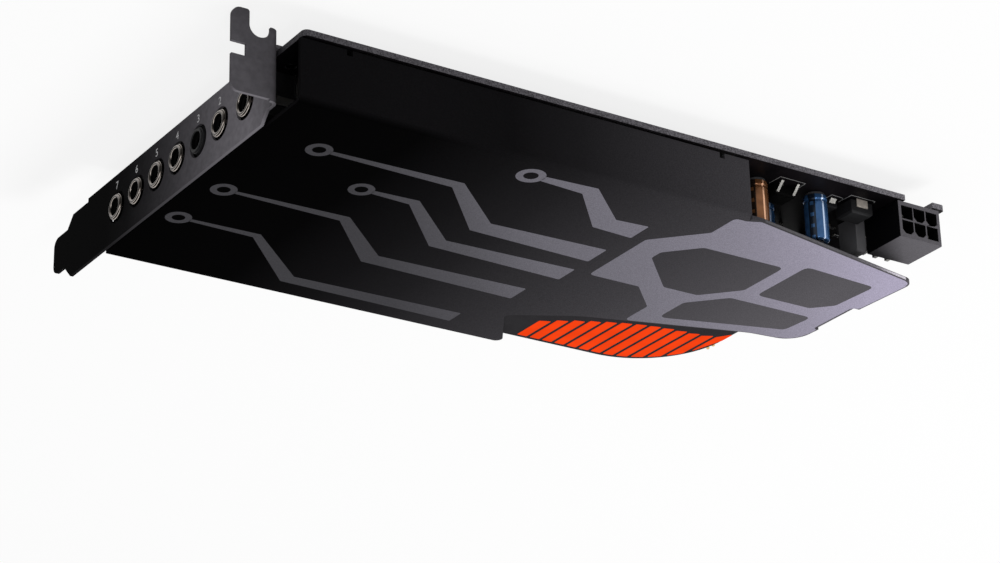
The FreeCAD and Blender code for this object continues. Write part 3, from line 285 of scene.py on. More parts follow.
# %% A softened copy of a node
def dressed(mesh, material):
    """Gives a mesh one material and no other."""
    mesh.materials.clear()
    mesh.materials.append(material)


def softened(name, width, material):
    """A copy of a node with its edges rounded by a width in metres."""
    mesh = nodes[name].data.copy()
    mesh.name = name + "_finished"
    work = bmesh.new()
    work.from_mesh(mesh)
    bmesh.ops.remove_doubles(work, verts=work.verts, dist=MERGE_REACH)
    bmesh.ops.dissolve_limit(work, angle_limit=math.radians(0.5), verts=work.verts, edges=work.edges)
    work.to_mesh(mesh)
    work.free()
    dressed(mesh, material)
    mesh.shade_smooth()
    piece = in_scene(mesh.name, mesh)
    edge = piece.modifiers.new("edge", "BEVEL")
    edge.width = width
    edge.segments = 2
    edge.limit_method = "ANGLE"
    edge.angle_limit = math.radians(32)
    edge.miter_outer = "MITER_ARC"
    shade = piece.modifiers.new("shade", "WEIGHTED_NORMAL")
    shade.weight = 100
    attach(piece, "root")
    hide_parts(name)
    return piece


print("corners of the cover's loose triangles:", len(nodes["cover"].data.vertices))

# %% [markdown]
# ## Finishes
#
# A finish starts from a colour, a roughness and whether it is metal. Everything finer is a small net of
# shader nodes, so we need short words for it: put a node, join two sockets, mix two colours.

# %% A finish and its nodes
def shader_of(material):
    """The material's main shader."""
    return material.node_tree.nodes["Principled BSDF"]


def finish(name, colour, roughness, metallic=0.0, specular=0.5):
    """A new finish with one colour all over."""
    material = bpy.data.materials.new(name)
    material.use_nodes = True
    sockets = shader_of(material).inputs
    sockets["Base Color"].default_value = (*colour, 1)
    sockets["Roughness"].default_value = roughness
    sockets["Metallic"].default_value = metallic
    sockets["Specular IOR Level"].default_value = specular
    return material


def put(material, kind, **inputs):
    """A node of a kind, with some of its inputs set."""
    node = material.node_tree.nodes.new(kind)
    for name, value in inputs.items():
        node.inputs[name.replace("_", " ")].default_value = value
    return node


def joined(material, source, target):
    """Joins one socket to another."""
    material.node_tree.links.new(source, target)


def worked_out(material, operation, first, *others):
    """A value worked out by an operation: the first one is a socket, the others are sockets or numbers."""
    node = put(material, "ShaderNodeMath")
    node.operation = operation
    joined(material, first, node.inputs[0])
    for target, value in zip(node.inputs[1:], others):
        if isinstance(value, float):
            target.default_value = value
        else:
            joined(material, value, target)
    return node.outputs[0]


def mixed(material, factor, first, second):
    """A colour between two others: each is a socket or a plain colour."""
    mix = put(material, "ShaderNodeMix")
    mix.data_type = "RGBA"
    joined(material, factor, mix.inputs["Factor"])
    for name, colour in (("A", first), ("B", second)):
        if isinstance(colour, tuple):
            mix.inputs[name].default_value = (*colour, 1)
        else:
            joined(material, colour, mix.inputs[name])
    return mix.outputs["Result"]


print("finishes that came with the model:", len(bpy.data.materials))

# %% [markdown]
# What makes a finish real is small: paint has a grain you can feel, plated steel has cloudy patches,
# moulded plastic has a fine spark-eroded skin. Each of these is a noise read at the object's own
# coordinates, so it keeps its scale in millimetres.

# %% Noise, and what it drives
def object_place(material, stretch=(1, 1, 1)):
    """The place on the object in metres, stretched along its axes."""
    coordinate = put(material, "ShaderNodeTexCoord")
    mapping = put(material, "ShaderNodeMapping", Scale=stretch)
    joined(material, coordinate.outputs["Object"], mapping.inputs["Vector"])
    return mapping.outputs["Vector"]


def cloud(material, size, detail=3.0, stretch=(1, 1, 1)):
    """Noise from 0 to 1 whose features are about a size in metres."""
    noise = put(material, "ShaderNodeTexNoise", Scale=1 / size, Detail=detail)
    joined(material, object_place(material, stretch), noise.inputs["Vector"])
    return noise.outputs["Fac"]


def between(material, factor, dark, light, low=0.35, high=0.65):
    """A colour that runs from dark to light as the factor runs from low to high."""
    ramp = put(material, "ShaderNodeValToRGB")
    for element, place, colour in zip(ramp.color_ramp.elements, (low, high), (dark, light)):
        element.position = place
        element.color = (*colour, 1)
    joined(material, factor, ramp.inputs["Fac"])
    return ramp.outputs["Color"]


def coloured(material, colour):
    """Gives the shader a colour from the nodes."""
    joined(material, colour, shader_of(material).inputs["Base Color"])


def roughened(material, factor, low, high):
    """Roughness from low to high with the factor."""
    spread = put(material, "ShaderNodeMapRange", From_Min=0.3, From_Max=0.7, To_Min=low, To_Max=high)
    joined(material, factor, spread.inputs["Value"])
    joined(material, spread.outputs["Result"], shader_of(material).inputs["Roughness"])


def grained(material, factor, depth, strength=1.0):
    """Bump of a depth in metres from the factor."""
    bump = put(material, "ShaderNodeBump", Strength=strength, Distance=depth)
    joined(material, factor, bump.inputs["Height"])
    joined(material, bump.outputs["Normal"], shader_of(material).inputs["Normal"])


print("a noise scale of", round(1 / MM), "has grains of a millimetre")

# %% [markdown]
# Most of the card's pieces fall into two families. Plastics, inks and glazes are moulded or laid on, with a
# skin and a slightly uneven gloss. Contacts, legs and cans are plated or drawn, with a cloudy brightness.

# %% Two families of finish
def moulded(name, colour, roughness=0.5, specular=0.35, size=0.25 * MM, depth=0.006 * MM):
    """A moulded plastic or epoxy: a fine skin, and slightly uneven gloss."""
    material = finish(name, colour, roughness, specular=specular)
    light = tuple(min(1.0, side * 1.2 + 0.001) for side in colour)
    coloured(material, between(material, cloud(material, 6 * MM, 5), colour, light, 0.3, 0.75))
    grained(material, cloud(material, size, 2), depth)
    roughened(material, cloud(material, 3 * MM), roughness - 0.06, roughness + 0.08)
    return material


def plated(name, colour, roughness, size=1.5 * MM, stretch=(1, 1, 1), depth=0.002 * MM):
    """A plated metal: cloudy brightness, with fine marks drawn out along one axis."""
    material = finish(name, colour, roughness, metallic=1.0)
    dark = tuple(side * 0.78 for side in colour)
    coloured(material, between(material, cloud(material, size, 5, stretch), dark, colour, 0.3, 0.7))
    roughened(material, cloud(material, size / 2, 4, stretch), roughness - 0.07, roughness + 0.1)
    grained(material, cloud(material, size / 6, 3, stretch), depth)
    return material


black_moulding = moulded("black_moulding", (0.012, 0.012, 0.013), 0.48, 0.12)
nickel = plated("nickel", (0.36, 0.355, 0.34), 0.3, 6 * MM, (1, 1, 0.2), 0.0003 * MM)
print("one finish of each family: a black moulding and a nickel plate")

# %% [markdown]
# With these two, most finishes are one line each. A colour is written as linear light: the 0.012 of the
# black mouldings is about step 29 of a picture's 255.

# %% Plain metals and plastics
tin = plated("tin", (0.2, 0.195, 0.185), 0.42, 0.8 * MM)
gilt = plated("gilt", (0.85, 0.6, 0.26), 0.24, 4 * MM, depth=0.0005 * MM)
via_metal = plated("via_metal", (0.1, 0.085, 0.055), 0.45, 2 * MM, depth=0.0005 * MM)
bright_tin = plated("bright_tin", (0.62, 0.56, 0.5), 0.35, 0.8 * MM)
shader_of(bright_tin).inputs["Metallic"].default_value = 0.3
screw_oxide = plated("screw_oxide", (0.02, 0.02, 0.021), 0.45, 1 * MM)
drawn_aluminium = plated("drawn_aluminium", (0.6, 0.6, 0.6), 0.3, 3 * MM, (1, 1, 0.2), 0.0005 * MM)
deep_black = moulded("deep_black", (0.002, 0.002, 0.002), 0.6, 0.02)
epoxy = moulded("epoxy", (0.01, 0.01, 0.011), 0.55, 0.06, 0.18 * MM)
relay_shell = moulded("relay_shell", (0.014, 0.014, 0.016), 0.28, 0.12, depth=0.003 * MM)
film_shell = moulded("film_shell", (0.5, 0.06, 0.03), 0.28, 0.5, 0.8 * MM)
# The black film capacitor's box is a mid grey: a painted sheen on a black part.
box_shell = moulded("box_shell", (0.14, 0.138, 0.145), 0.35, 0.05, depth=0.003 * MM)
ferrite = moulded("ferrite", (0.015, 0.015, 0.016), 0.42, 0.06, 0.3 * MM, 0.008 * MM)
rubber = moulded("rubber", (0.06, 0.06, 0.065), 0.6, 0.2)
ceramic = moulded("ceramic", (0.38, 0.27, 0.17), 0.45)
resistor_glaze = moulded("resistor_glaze", (0.014, 0.014, 0.016), 0.25, 0.5)
track_mask = moulded("track_mask", (0.01, 0.009, 0.011), 0.38, 0.2)
white_ink = moulded("white_ink", (0.5, 0.5, 0.51), 0.6, 0.05)
board_ink = moulded("board_ink", (0.26, 0.26, 0.26), 0.6, 0.05)
smoke_plate = moulded("smoke_plate", (0.014, 0.013, 0.015), 0.4, 0.01, 2 * MM, 0.001 * MM)
orange_ink = moulded("orange_ink", (0.86, 0.052, 0.006), 0.55, 0.0, 0.3 * MM)
lamp_body = moulded("lamp_body", (0.8, 0.76, 0.66), 0.4)
print("finishes so far, with the model's own:", len(bpy.data.materials))

# %% [markdown]
# ## Painted light that runs along the card
#
# The cover is sheet steel with a textured coat. In the picture its colour is not even: it is nearly black
# by the bracket and lightens to a soft grey at the free end, and the printed bands go from a neutral grey
# to a lilac grey. The lightening is painted light, a sheen that fades towards the bracket: each is a colour
# that runs along a direction on the card, broken up by the coat's fine grain. The plated bracket gets the
# same painted sheen, darkening from its tab to its tongue.

# %% Runs of colour
def run_of_colour(material, stops, direction=(1, 0, 0), vector=None, unit=MM):
    """The colour at a place: stops are (millimetres along the direction, colour).

    With a normal as the vector and a unit of 1, the stops run from -1 to 1 instead.
    """
    along = put(material, "ShaderNodeVectorMath")
    along.operation = "DOT_PRODUCT"
    joined(material, vector or put(material, "ShaderNodeTexCoord").outputs["Object"], along.inputs[0])
    along.inputs[1].default_value = direction
    first, last = stops[0][0], stops[-1][0]
    distance = put(material, "ShaderNodeMapRange", From_Min=first * unit, From_Max=last * unit)
    joined(material, along.outputs["Value"], distance.inputs["Value"])
    ramp = put(material, "ShaderNodeValToRGB")
    joined(material, distance.outputs["Result"], ramp.inputs["Fac"])
    elements = ramp.color_ramp.elements
    for place, colour in stops[1:-1]:
        elements.new((place - first) / (last - first)).color = (*colour, 1)
    elements[0].color = (*stops[0][1], 1)
    elements[-1].color = (*stops[-1][1], 1)
    return ramp.outputs["Color"]


def speckled(material, colour, size, low, high):
    """A colour multiplied by grains that run from low to high."""
    tone = between(material, cloud(material, size, 2), (low, low, low), (high, high, high), 0.3, 0.7)
    speck = put(material, "ShaderNodeMix", Factor=1.0)
    speck.data_type = "RGBA"
    speck.blend_type = "MULTIPLY"
    joined(material, colour, speck.inputs["A"])
    joined(material, tone, speck.inputs["B"])
    return speck.outputs["Result"]


def greys(*stops):
    """Stops of a neutral colour with a trace of violet, from pairs of (millimetres, brightness)."""
    return [(place, (light, light * 0.95, light * 1.05)) for place, light in stops]


def lilacs(*stops):
    """The same for the pale ink, which turns lilac as its painted sheen lightens it."""
    return [(place, (light, light * (0.98 - 0.15 * light), light * (1.07 + 0.35 * light)))
            for place, light in stops]


print("a fifth of white, as a grey and as a lilac:",
      [np.round(run((0, 0.2))[0][1], 3).tolist() for run in (greys, lilacs)])

# %% [markdown]
# One value helps wherever a face and an edge of one piece differ: how squarely the surface faces along an
# axis, from its own normal. It tells the cover's level face from its upright flange, whose painted sheen is a
# little lighter by the bracket.

# %% The cover's coat and the pale ink


def coat_speckled(material, colour):
    """A colour broken up by the coat's grain."""
    return speckled(material, colour, 0.22 * MM, 0.74, 1.22)


def normal_of(material):
    """The surface's own normal."""
    return put(material, "ShaderNodeNewGeometry").outputs["Normal"]


def facing(material, axis):
    """How far the surface faces along an axis, either way: 1 on a face square to it and 0 on one along it."""
    split = put(material, "ShaderNodeSeparateXYZ")
    joined(material, normal_of(material), split.inputs["Vector"])
    return worked_out(material, "ABSOLUTE", split.outputs[axis])


COAT_GRAIN = 0.3 * MM
COAT_DEPTH = 0.012 * MM
# Painted light: the coat runs from nearly black by the bracket to a soft grey at the free end.
FREE_END_SHEEN_GREYS = [(65, 0.006), (85, 0.013), (110, 0.03), (135, 0.048), (160, 0.072), (185, 0.1)]
coat = finish("cover_coat", (0.0005, 0.0005, 0.0005), 0.62, specular=0.001)
face_painted_light = coat_speckled(coat, run_of_colour(coat, greys((0, 0.0005), (40, 0.001), *FREE_END_SHEEN_GREYS)))
flange_painted_light = coat_speckled(coat, run_of_colour(coat, greys((0, 0.005), (40, 0.0065), *FREE_END_SHEEN_GREYS)))
coloured(coat, mixed(coat, facing(coat, "Z"), flange_painted_light, face_painted_light))
grained(coat, cloud(coat, COAT_GRAIN), COAT_DEPTH)

band_ink = finish("band_ink", (0.045, 0.044, 0.049), 0.55, specular=0.01)
# Painted sheen: the pale ink lightens towards the free end and the near edge, and turns lilac as it does.
ink_hue_and_sheen = run_of_colour(band_ink, lilacs((-50, 0.045), (20, 0.048), (50, 0.085), (75, 0.14), (110, 0.18),
                                          (140, 0.235), (165, 0.31), (190, 0.41)), (1, 0.8, 0))
coloured(band_ink, coat_speckled(band_ink, ink_hue_and_sheen))
grained(band_ink, cloud(band_ink, COAT_GRAIN), COAT_DEPTH)
print("coat and ink made")

# %% [markdown]
# The bracket is steel with a black nickel plate. Its faces are dark, with a painted sheen that fades from
# the tab to the tongue, and the sheet's cut edges and the rims that were rolled over at its folds get a
# painted highlight. Nearly every cut edge on this bracket faces up or down, along Z. The cover's slanted edge
# is bare metal, with a painted sheen that brightens towards the free end.

# %% The bracket's plate and the cover's bare edge
bracket_plate = finish("bracket_plate", (0.05, 0.048, 0.05), 0.36, specular=0.002)
# Painted sheen that fades from the tab to the tongue, and a brighter painted highlight on the faces along Z.
plate_sheen_stops = greys((-112, 0.0004), (-88, 0.0008), (-76, 0.005), (-64, 0.02), (-53, 0.045), (-42, 0.08),
                    (-30, 0.13), (-12, 0.19), (-3, 0.15), (-0.6, 0.09), (2, 0.09))
rim_highlight_stops = greys((-112, 0.006), (-85, 0.012), (-50, 0.06), (-10, 0.16), (2, 0.18))
plate_sheen = run_of_colour(bracket_plate, plate_sheen_stops, (0, 1, 0))
plate_sheen = speckled(bracket_plate, plate_sheen, 1.6 * MM, 0.88, 1.1)
rim_highlight = run_of_colour(bracket_plate, rim_highlight_stops, (0, 1, 0))
coloured(bracket_plate, mixed(bracket_plate, facing(bracket_plate, "Z"), plate_sheen, rim_highlight))
grained(bracket_plate, cloud(bracket_plate, 0.5 * MM), 0.002 * MM)

edge_metal = finish("edge_metal", (0.24, 0.235, 0.24), 0.4, metallic=0.6)
# Painted sheen: the bare edge brightens towards the free end.
edge_sheen_stops = greys((140, 0.07), (172, 0.12), (184, 0.3), (190, 0.72), (197, 0.8))
coloured(edge_metal, speckled(edge_metal, run_of_colour(edge_metal, edge_sheen_stops), 0.3 * MM, 0.6, 1.2))
print("bracket plate and bare edge made")

# %% [markdown]
# The jack sleeves are polished, so they show their surroundings in bands, dark beside light. A white studio
# has no such bands, so they are a painted reflection: the metal's colour follows the way the surface faces.
# The power socket is black plastic whose front and upper faces get a painted grey sheen, while its two ends
# get a painted shade.

# %% Painted reflection, sheen and shade that follow the way a surface faces
# Painted reflection: bands of light and dark by the way the sleeve's surface faces.
RING_REFLECTION_BANDS = [(-1.0, 0.3), (-0.7, 0.5), (-0.2, 0.2), (0.0, 0.04), (0.4, 0.015), (0.6, 0.55), (0.72, 0.04),
              (1.0, 0.015)]
RING_LIGHT = (0.1, 0.35, 0.93)
ring_metal = finish("ring_metal", (0.2, 0.17, 0.15), 0.16, metallic=1.0)
ring_reflection_stops = [(place, (light, light * 0.9, light * 0.82)) for place, light in RING_REFLECTION_BANDS]
coloured(ring_metal, run_of_colour(ring_metal, ring_reflection_stops, RING_LIGHT, normal_of(ring_metal), 1))
grained(ring_metal, cloud(ring_metal, 0.3 * MM), 0.001 * MM)

# Painted shade on the socket's two ends, which face along X, and a painted grey sheen on its other faces.
SOCKET_END_SHADE = (0.003, 0.003, 0.0035)
socket_moulding = finish("socket_moulding", (0.08, 0.078, 0.085), 0.45, specular=0.02)
sheen = run_of_colour(socket_moulding, greys((180, 0.003), (189, 0.045), (196, 0.11), (210, 0.12)), (1, 1, 0))
sheen = speckled(socket_moulding, sheen, 0.35 * MM, 0.85, 1.12)
coloured(socket_moulding, mixed(socket_moulding, facing(socket_moulding, "X"), sheen, SOCKET_END_SHADE))
grained(socket_moulding, cloud(socket_moulding, 0.35 * MM), 0.008 * MM)
print("sleeve and socket finishes made")

# %% [markdown]
# The board is glass cloth in resin under a dark solder mask. Its faces are smooth and nearly black, while
# the routed edge shows the bare laminate, brown-grey with pale specks of glass, under a painted sheen that
# lightens towards the free end. One material does both: the surface's own normal tells a face from an edge.

# %% The laminate
WEAVE_PITCH = 2.4 * MM
laminate = finish("laminate", (0.012, 0.01, 0.012), 0.45, specular=0.03)
# Painted sheen: the edge's grey lightens towards the free end; the specks are the glass.
edge_specks_and_sheen = run_of_colour(laminate, greys((10, 0.065), (55, 0.078), (103, 0.094), (155, 0.123), (193, 0.165)))
edge_specks_and_sheen = speckled(laminate, edge_specks_and_sheen, 0.3 * MM, 0.35, 1.75)
mask_tone = between(laminate, cloud(laminate, 9 * MM, 4), (0.0025, 0.002, 0.0025), (0.006, 0.005, 0.006))
coloured(laminate, mixed(laminate, facing(laminate, "Z"), edge_specks_and_sheen, mask_tone))
weave = put(laminate, "ShaderNodeTexBrick", Scale=1 / WEAVE_PITCH)
joined(laminate, object_place(laminate), weave.inputs["Vector"])
grained(laminate, weave.outputs["Fac"], 0.006 * MM, 0.35)
print("laminate made")

# %% [markdown]
# ## Pieces whose form is right already
#
# Folded sheets and plain mouldings keep their form from the model. They only get rounded edges and a
# finish.

# %% Soften the sheets and the mouldings
SOFTENED = {
    "cover": (0.16, coat),
    "mounting_bracket": (0.14, bracket_plate),
    "window_plate": (0.12, smoke_plate),
    "jack_housings": (0.2, black_moulding),
    "black_jack_housing": (0.2, black_moulding),
    "power_socket_housing": (0.12, socket_moulding),
    "small_capacitor_bases": (0.1, black_moulding),
    "audio_processor": (0.08, epoxy),
    "bus_controller": (0.08, epoxy),
    "audio_converters": (0.08, epoxy),
    "amplifier_chips": (0.08, epoxy),
    "output_relays": (0.3, relay_shell),
    "film_capacitors": (0.3, film_shell),
    "choke_coils": (0.25, ferrite),
    "large_coil": (0.14, ferrite),
    "black_film_capacitor": (0.2, box_shell),
    "power_regulator": (0.15, deep_black),
    "rectifier_diode": (0.12, epoxy),
    "clock_crystals": (0.2, drawn_aluminium),
    "regulators": (0.12, epoxy),
    "window_lamps": (0.15, lamp_body),
    "front_panel_header": (0.12, black_moulding),
    "cover_pillars": (0.15, nickel),
}
finished = {name: softened(name, width * MM, material) for name, (width, material) in SOFTENED.items()}
print("softened:", len(finished))

# %% [markdown]
# The socket's cells are deep and get no light, so the faces inside them get a painted shade of deep black.

# %% Darken the socket's cells
def read(elements, name, width=1, kind=float):
    """One property of all vertices, loops or faces of a mesh, as an array with a row for each."""
    values = np.empty(len(elements) * width, kind)
    elements.foreach_get(name, values)
    return values.reshape(-1, width) if width > 1 else values


def darken_hollows(piece, margin, deep):
    """Gives a second material, a painted shade, to the faces whose middle lies inside the piece's box by more
    than a margin.
    """
    mesh = piece.data
    points = read(mesh.vertices, "co", 3)
    centres = read(mesh.polygons, "center", 3)
    inside = np.all((centres > points.min(axis=0) + margin) & (centres < points.max(axis=0) - margin), axis=1)
    mesh.materials.append(deep)
    mesh.polygons.foreach_set("material_index", inside.astype(int))
    return int(inside.sum())


CELL_WALL = 0.55 * MM
print("dark faces:", darken_hollows(finished["power_socket_housing"], CELL_WALL, deep_black))

# %% [markdown]
# The board is a plain plate, and contacts, pins, springs and legs are thin: the model has their form
# already. They keep its mesh and only get a finish, which takes the place of the plain one in the mesh.

# %% Finishes of the nodes that stay as they are
PLAIN = {
    laminate: ["circuit_board"],
    gilt: ["bus_contacts_component_side", "bus_contacts_solder_side", "front_panel_pins"],
    nickel: ["jack_springs"],
    bright_tin: ["large_coil_clips"],
    tin: ["power_socket_pins", "audio_processor_legs", "audio_converter_legs", "amplifier_chip_legs",
          "choke_coil_blades", "power_regulator_legs", "rectifier_diode_tabs", "regulator_tabs"],
}
for material, names in PLAIN.items():
    for name in names:
        dressed(nodes[name].data, material)
print("plain nodes:", sum(len(names) for names in PLAIN.values()))

# %% [markdown]
# ## The printed bands
#
# The cover carries a print of grey bands on black. This one is a circuit motif: straight bands that step
# sideways at 45 degrees and end in round pads, with a pale field at the free end. Each band is a slab: two
# hundredths of a millimetre stand proud, as a layer of ink does, and as much lies inside the sheet.

# %% Lay the bands on the cover
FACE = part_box("cover")[1][2]
INK_LOW = FACE - 0.02 * MM
INK_HIGH = FACE + 0.02 * MM


def inked(corners, radius, low=INK_LOW, high=INK_HIGH):
    """One printed shape from corners in millimetres, with its corners rounded."""
    return slab(rounded(corners, radius) * MM, low, high)


def trace(path, widths, pad=3.4):
    """A band with a round pad at its thin end: the pad is a ring that the band runs a little into."""
    start, second = np.array(path[:2], float)
    back = (start - second) / np.linalg.norm(start - second)
    points, faces = turned(box_outline(pad / 2 * MM, INK_LOW, pad * MM, INK_HIGH), 40, closed=True)
    middle = (start + back * pad * 0.95) * MM
    return [inked(ribbon(path, widths), 0.5), (points + [*middle, 0], faces)]


TRACES = [
    ([(26, -11), (62, -11), (80, -29), (116, -29)], [1.6, 3.4, 6.0, 8.5]),
    ([(46, -25), (58, -25), (76, -43), (116, -43)], [1.8, 3.0, 5.0, 7.5]),
    ([(17, -42), (48, -42), (66, -60), (112, -60)], [1.4, 3.0, 5.2, 7.5]),
    ([(15, -62), (34, -62), (54, -82), (106, -82)], [1.4, 2.4, 4.2, 6.0]),
    ([(78, 2.5), (92, 2.5), (106, -11.5), (117, -11.5)], [2.6, 4.4, 6.5, 8.0], 3.8),
]
made("printed_bands", gathered([part for row in TRACES for part in trace(*row)]), band_ink)

# %% [markdown]
# The pale field at the free end is one shape with steps in its edge, and dark panels lie inside it. The
# panels are a second, thinner layer over the first, as in screen printing.

# %% The pale field and its panels
PALE_FIELD = [(121, -40), (137, -40), (147, -50), (147, -60.85), (180.6, -51.3), (184.3, -50.6),
              (191.1, -49.95), (194.4, -48.8), (196.3, -46.7), (197.2, -43.7), (197.35, -40.1),
              (195.9, -39.5), (195.9, -23.4), (198.1, -22.8), (199.05, -4.6), (198.3, -2.5),
              (196.4, -1.48), (140.2, 9.15), (136.5, 7.6), (133, 7.6), (133, -2.5), (121, -14.5)]
DARK_PANELS = [
    [(129, -23), (143, -37), (154, -37), (163, -28), (163, -11), (137, -11), (129, -19)],
    [(168, -29), (186, -29), (191, -24), (192, -9), (168, -7.5)],
    [(154, -54.6), (179, -47.4), (189.5, -44.5), (190.5, -34), (163, -34), (154, -43)],
]
made("pale_field", inked(PALE_FIELD, 1.6), band_ink)
panels = [inked(corners, 2.0, FACE + 0.01 * MM, FACE + 0.035 * MM) for corners in DARK_PANELS]
made("dark_panels", gathered(panels), coat)

# %% [markdown]
# The sheet was cut after it was coated, so its slanted near edge shows a thin line of bare metal. It is a
# strip that lies in the sheet's cut face, between the two rounded rims, and stands out by a few hundredths.

# %% The bare edge of the sheet
EDGE_START = np.array([141.2, 9.35])
EDGE_END = np.array([196.4, -1.09])
BARE_DEPTH = 0.1
BARE_PROUD = 0.03
along_edge = (EDGE_END - EDGE_START) / np.linalg.norm(EDGE_END - EDGE_START)
outwards = np.array([-along_edge[1], along_edge[0]])
edge_outline = np.array([EDGE_END - outwards * BARE_DEPTH, EDGE_END + outwards * BARE_PROUD,
                         EDGE_START + outwards * BARE_PROUD, EDGE_START - outwards * BARE_DEPTH]) * MM
made("bare_edge", slab(edge_outline, FACE - 0.84 * MM, FACE - 0.16 * MM), edge_metal)

# %% [markdown]
# ## The window
#
# Behind the cut-out lies a smoked plate with an orange print that the lamps under it light up. The print is
# a row of bars like a level meter: each bar follows the plate's round rim at one end and stops short of the
# cover's edge at the other.

# %% Level bars on the window plate
plate_low, plate_high = [np.array(corner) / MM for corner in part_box("window_plate")]
RIM_RADIUS = 25.0
RIM_MARGIN = 1.3
CUT_MARGIN = 2.2
BAR_PITCH = 4.1
BAR_WIDTH = 3.1

# The cover's cut-out as it passes over the plate: a line with one bend, as places along X and Y.
CUT_X = [116.8, 135.0, 182.5]
CUT_Y = [-74.1, -64.6, -51.1]


def rim_at(x):
    """The plate's far edge: straight, then a quarter circle of the rim radius."""
    across = np.maximum(0, x - (plate_high[0] - RIM_RADIUS))
    return plate_low[1] + RIM_RADIUS - np.sqrt(np.maximum(0, RIM_RADIUS ** 2 - across ** 2))


def bar(x, share):
    """A bar between the rim and the cut-out's edge, over a share of the room there."""
    sides = np.array([x - BAR_WIDTH / 2, x + BAR_WIDTH / 2])
    low = rim_at(sides) + RIM_MARGIN
    top = low + (np.interp(sides, CUT_X, CUT_Y) - CUT_MARGIN - low) * share
    corners = [(sides[0], low[0]), (sides[1], low[1]), (sides[1], top[1]), (sides[0], top[0])]
    return inked(corners, 0.4, (plate_high[2] - 0.02) * MM, (plate_high[2] + 0.03) * MM)


bar_places = np.arange(130.2, 180.0, BAR_PITCH)
bar_shares = 0.62 + 0.3 * np.sin(np.linspace(0.3, 2.9, len(bar_places)))
bars = [bar(x, share) for x, share in zip(bar_places, bar_shares)]
made("window_bars", gathered(bars), orange_ink)

# %% [markdown]
# ## Turned jack sleeves
#
# Each jack ends in a turned sleeve. Its profile goes round once: up the outside, over a rounded lip, down a
# wide mouth and back along the bore. Turned about the jack's axis, that closed profile is a ring. The lip
# is bright, and the profile's last strips, inside the mouth and along the bore, get a painted shade of deep
# black.

# %% Turn the sleeves
JACK_BORE = 1.8 * MM
JACK_MOUTH = 2.3 * MM
MOUTH_DEPTH = 1.1 * MM
BORE_DEPTH = 1.5 * MM
SLEEVE_SIDES = 56
SHADED_STRIPS = 4


def sleeve_profile(outer, length):
    """A sleeve's profile from its back: its lip is half a circle between a shoulder and the mouth."""
    lip = np.linspace(0, math.pi, 11)
    chamfer = 0.12 * MM
    shoulder = 0.3 * MM
    shoulder_height = length - 0.42 * MM
    lip_radius = (outer - shoulder - JACK_MOUTH) / 2
    lip_middle = JACK_MOUTH + lip_radius
    profile = [(JACK_BORE, 0), (outer, 0), (outer, shoulder_height - chamfer),
               (outer - chamfer, shoulder_height), (outer - shoulder, shoulder_height - chamfer / 2)]
    profile += list(zip(lip_middle + lip_radius * np.cos(lip), length - lip_radius * (1 - np.sin(lip))))
    profile += [(JACK_MOUTH, length - MOUTH_DEPTH), (JACK_BORE, length - BORE_DEPTH)]
    return np.array(profile)


def along_x(part):
    """A part turned about Z laid down, so that its height runs towards minus X."""
    points, faces = part
    return np.column_stack([-points[:, 2], points[:, 1], points[:, 0]]), faces


SLEEVES = {"jack_rings": (3.5 * MM, ring_metal), "black_jack_sleeve": (3.3 * MM, black_moulding)}
for name, (outer, material) in SLEEVES.items():
    boxes = solids_of(name)
    backs = boxes.mean(axis=1)
    backs[:, 0] = boxes[:, 1, 0]
    profile = sleeve_profile(outer, boxes[0, 1, 0] - boxes[0, 0, 0])
    part = shifted(along_x(turned(profile, SLEEVE_SIDES, closed=True)), backs)
    piece = made(name + "_turned", part, material, [name], smooth=True)
    # Painted shade: the strips inside the mouth and along the bore take deep black.
    piece.data.materials.append(deep_black)
    bore_shade = np.repeat(np.arange(len(profile)) >= len(profile) - SHADED_STRIPS, SLEEVE_SIDES)
    piece.data.polygons.foreach_set("material_index", np.tile(bore_shade, len(boxes)).astype(int))

# %% [markdown]
# ## Cans on rubber plugs
#
# An electrolytic can is drawn aluminium in a shrunk sleeve. The wall is rolled in near its foot to grip the
# rubber plug, and the sleeve folds over the crown, leaving a disc of bare metal.

# %% Profiles of the cans
def can_profile(radius, height):
    """The sleeve's outside: a rolled groove near the foot and a rounded crown.

    In the groove the radius is less by depth * sin(turn) and the height grows by half * (1 - cos(turn)), over
    half a turn. The crown is a quarter circle.
    """
    turn = np.linspace(0, math.pi, 9)
    bend = np.linspace(0, math.pi / 2, 6)
    groove_depth = 0.38 * MM
    groove_half = 0.55 * MM
    groove_foot = 1.15 * MM
    crown = 0.55 * MM
    profile = [(radius - 0.35 * MM, 0), (radius - 0.08 * MM, 0.12 * MM), (radius, 0.4 * MM)]
    profile += list(zip(radius - groove_depth * np.sin(turn), groove_foot + groove_half * (1 - np.cos(turn))))
    profile += list(zip(radius - crown + crown * np.cos(bend), height - crown + crown * np.sin(bend)))
    profile += [(radius - 1.0 * MM, height), (radius - 1.05 * MM, height - 0.08 * MM)]
    return np.array(profile)


def crown_profile(height):
    """The disc of bare metal in the crown, a little lower than the sleeve's fold round it."""
    top = height / MM
    return np.array([(1.9, top - 0.3), (2.06, top - 0.3), (2.06, top - 0.09), (0.4, top - 0.05)]) * MM


def plug_profile(radius, height):
    """A plug whose two rims are quarter circles."""
    bend = np.linspace(0, math.pi / 2, 5)
    rim = 0.2 * MM
    low = list(zip(radius - rim + rim * np.sin(bend), rim - rim * np.cos(bend)))
    high = list(zip(radius - rim + rim * np.cos(bend), height - rim + rim * np.sin(bend)))
    return np.array(low + high)


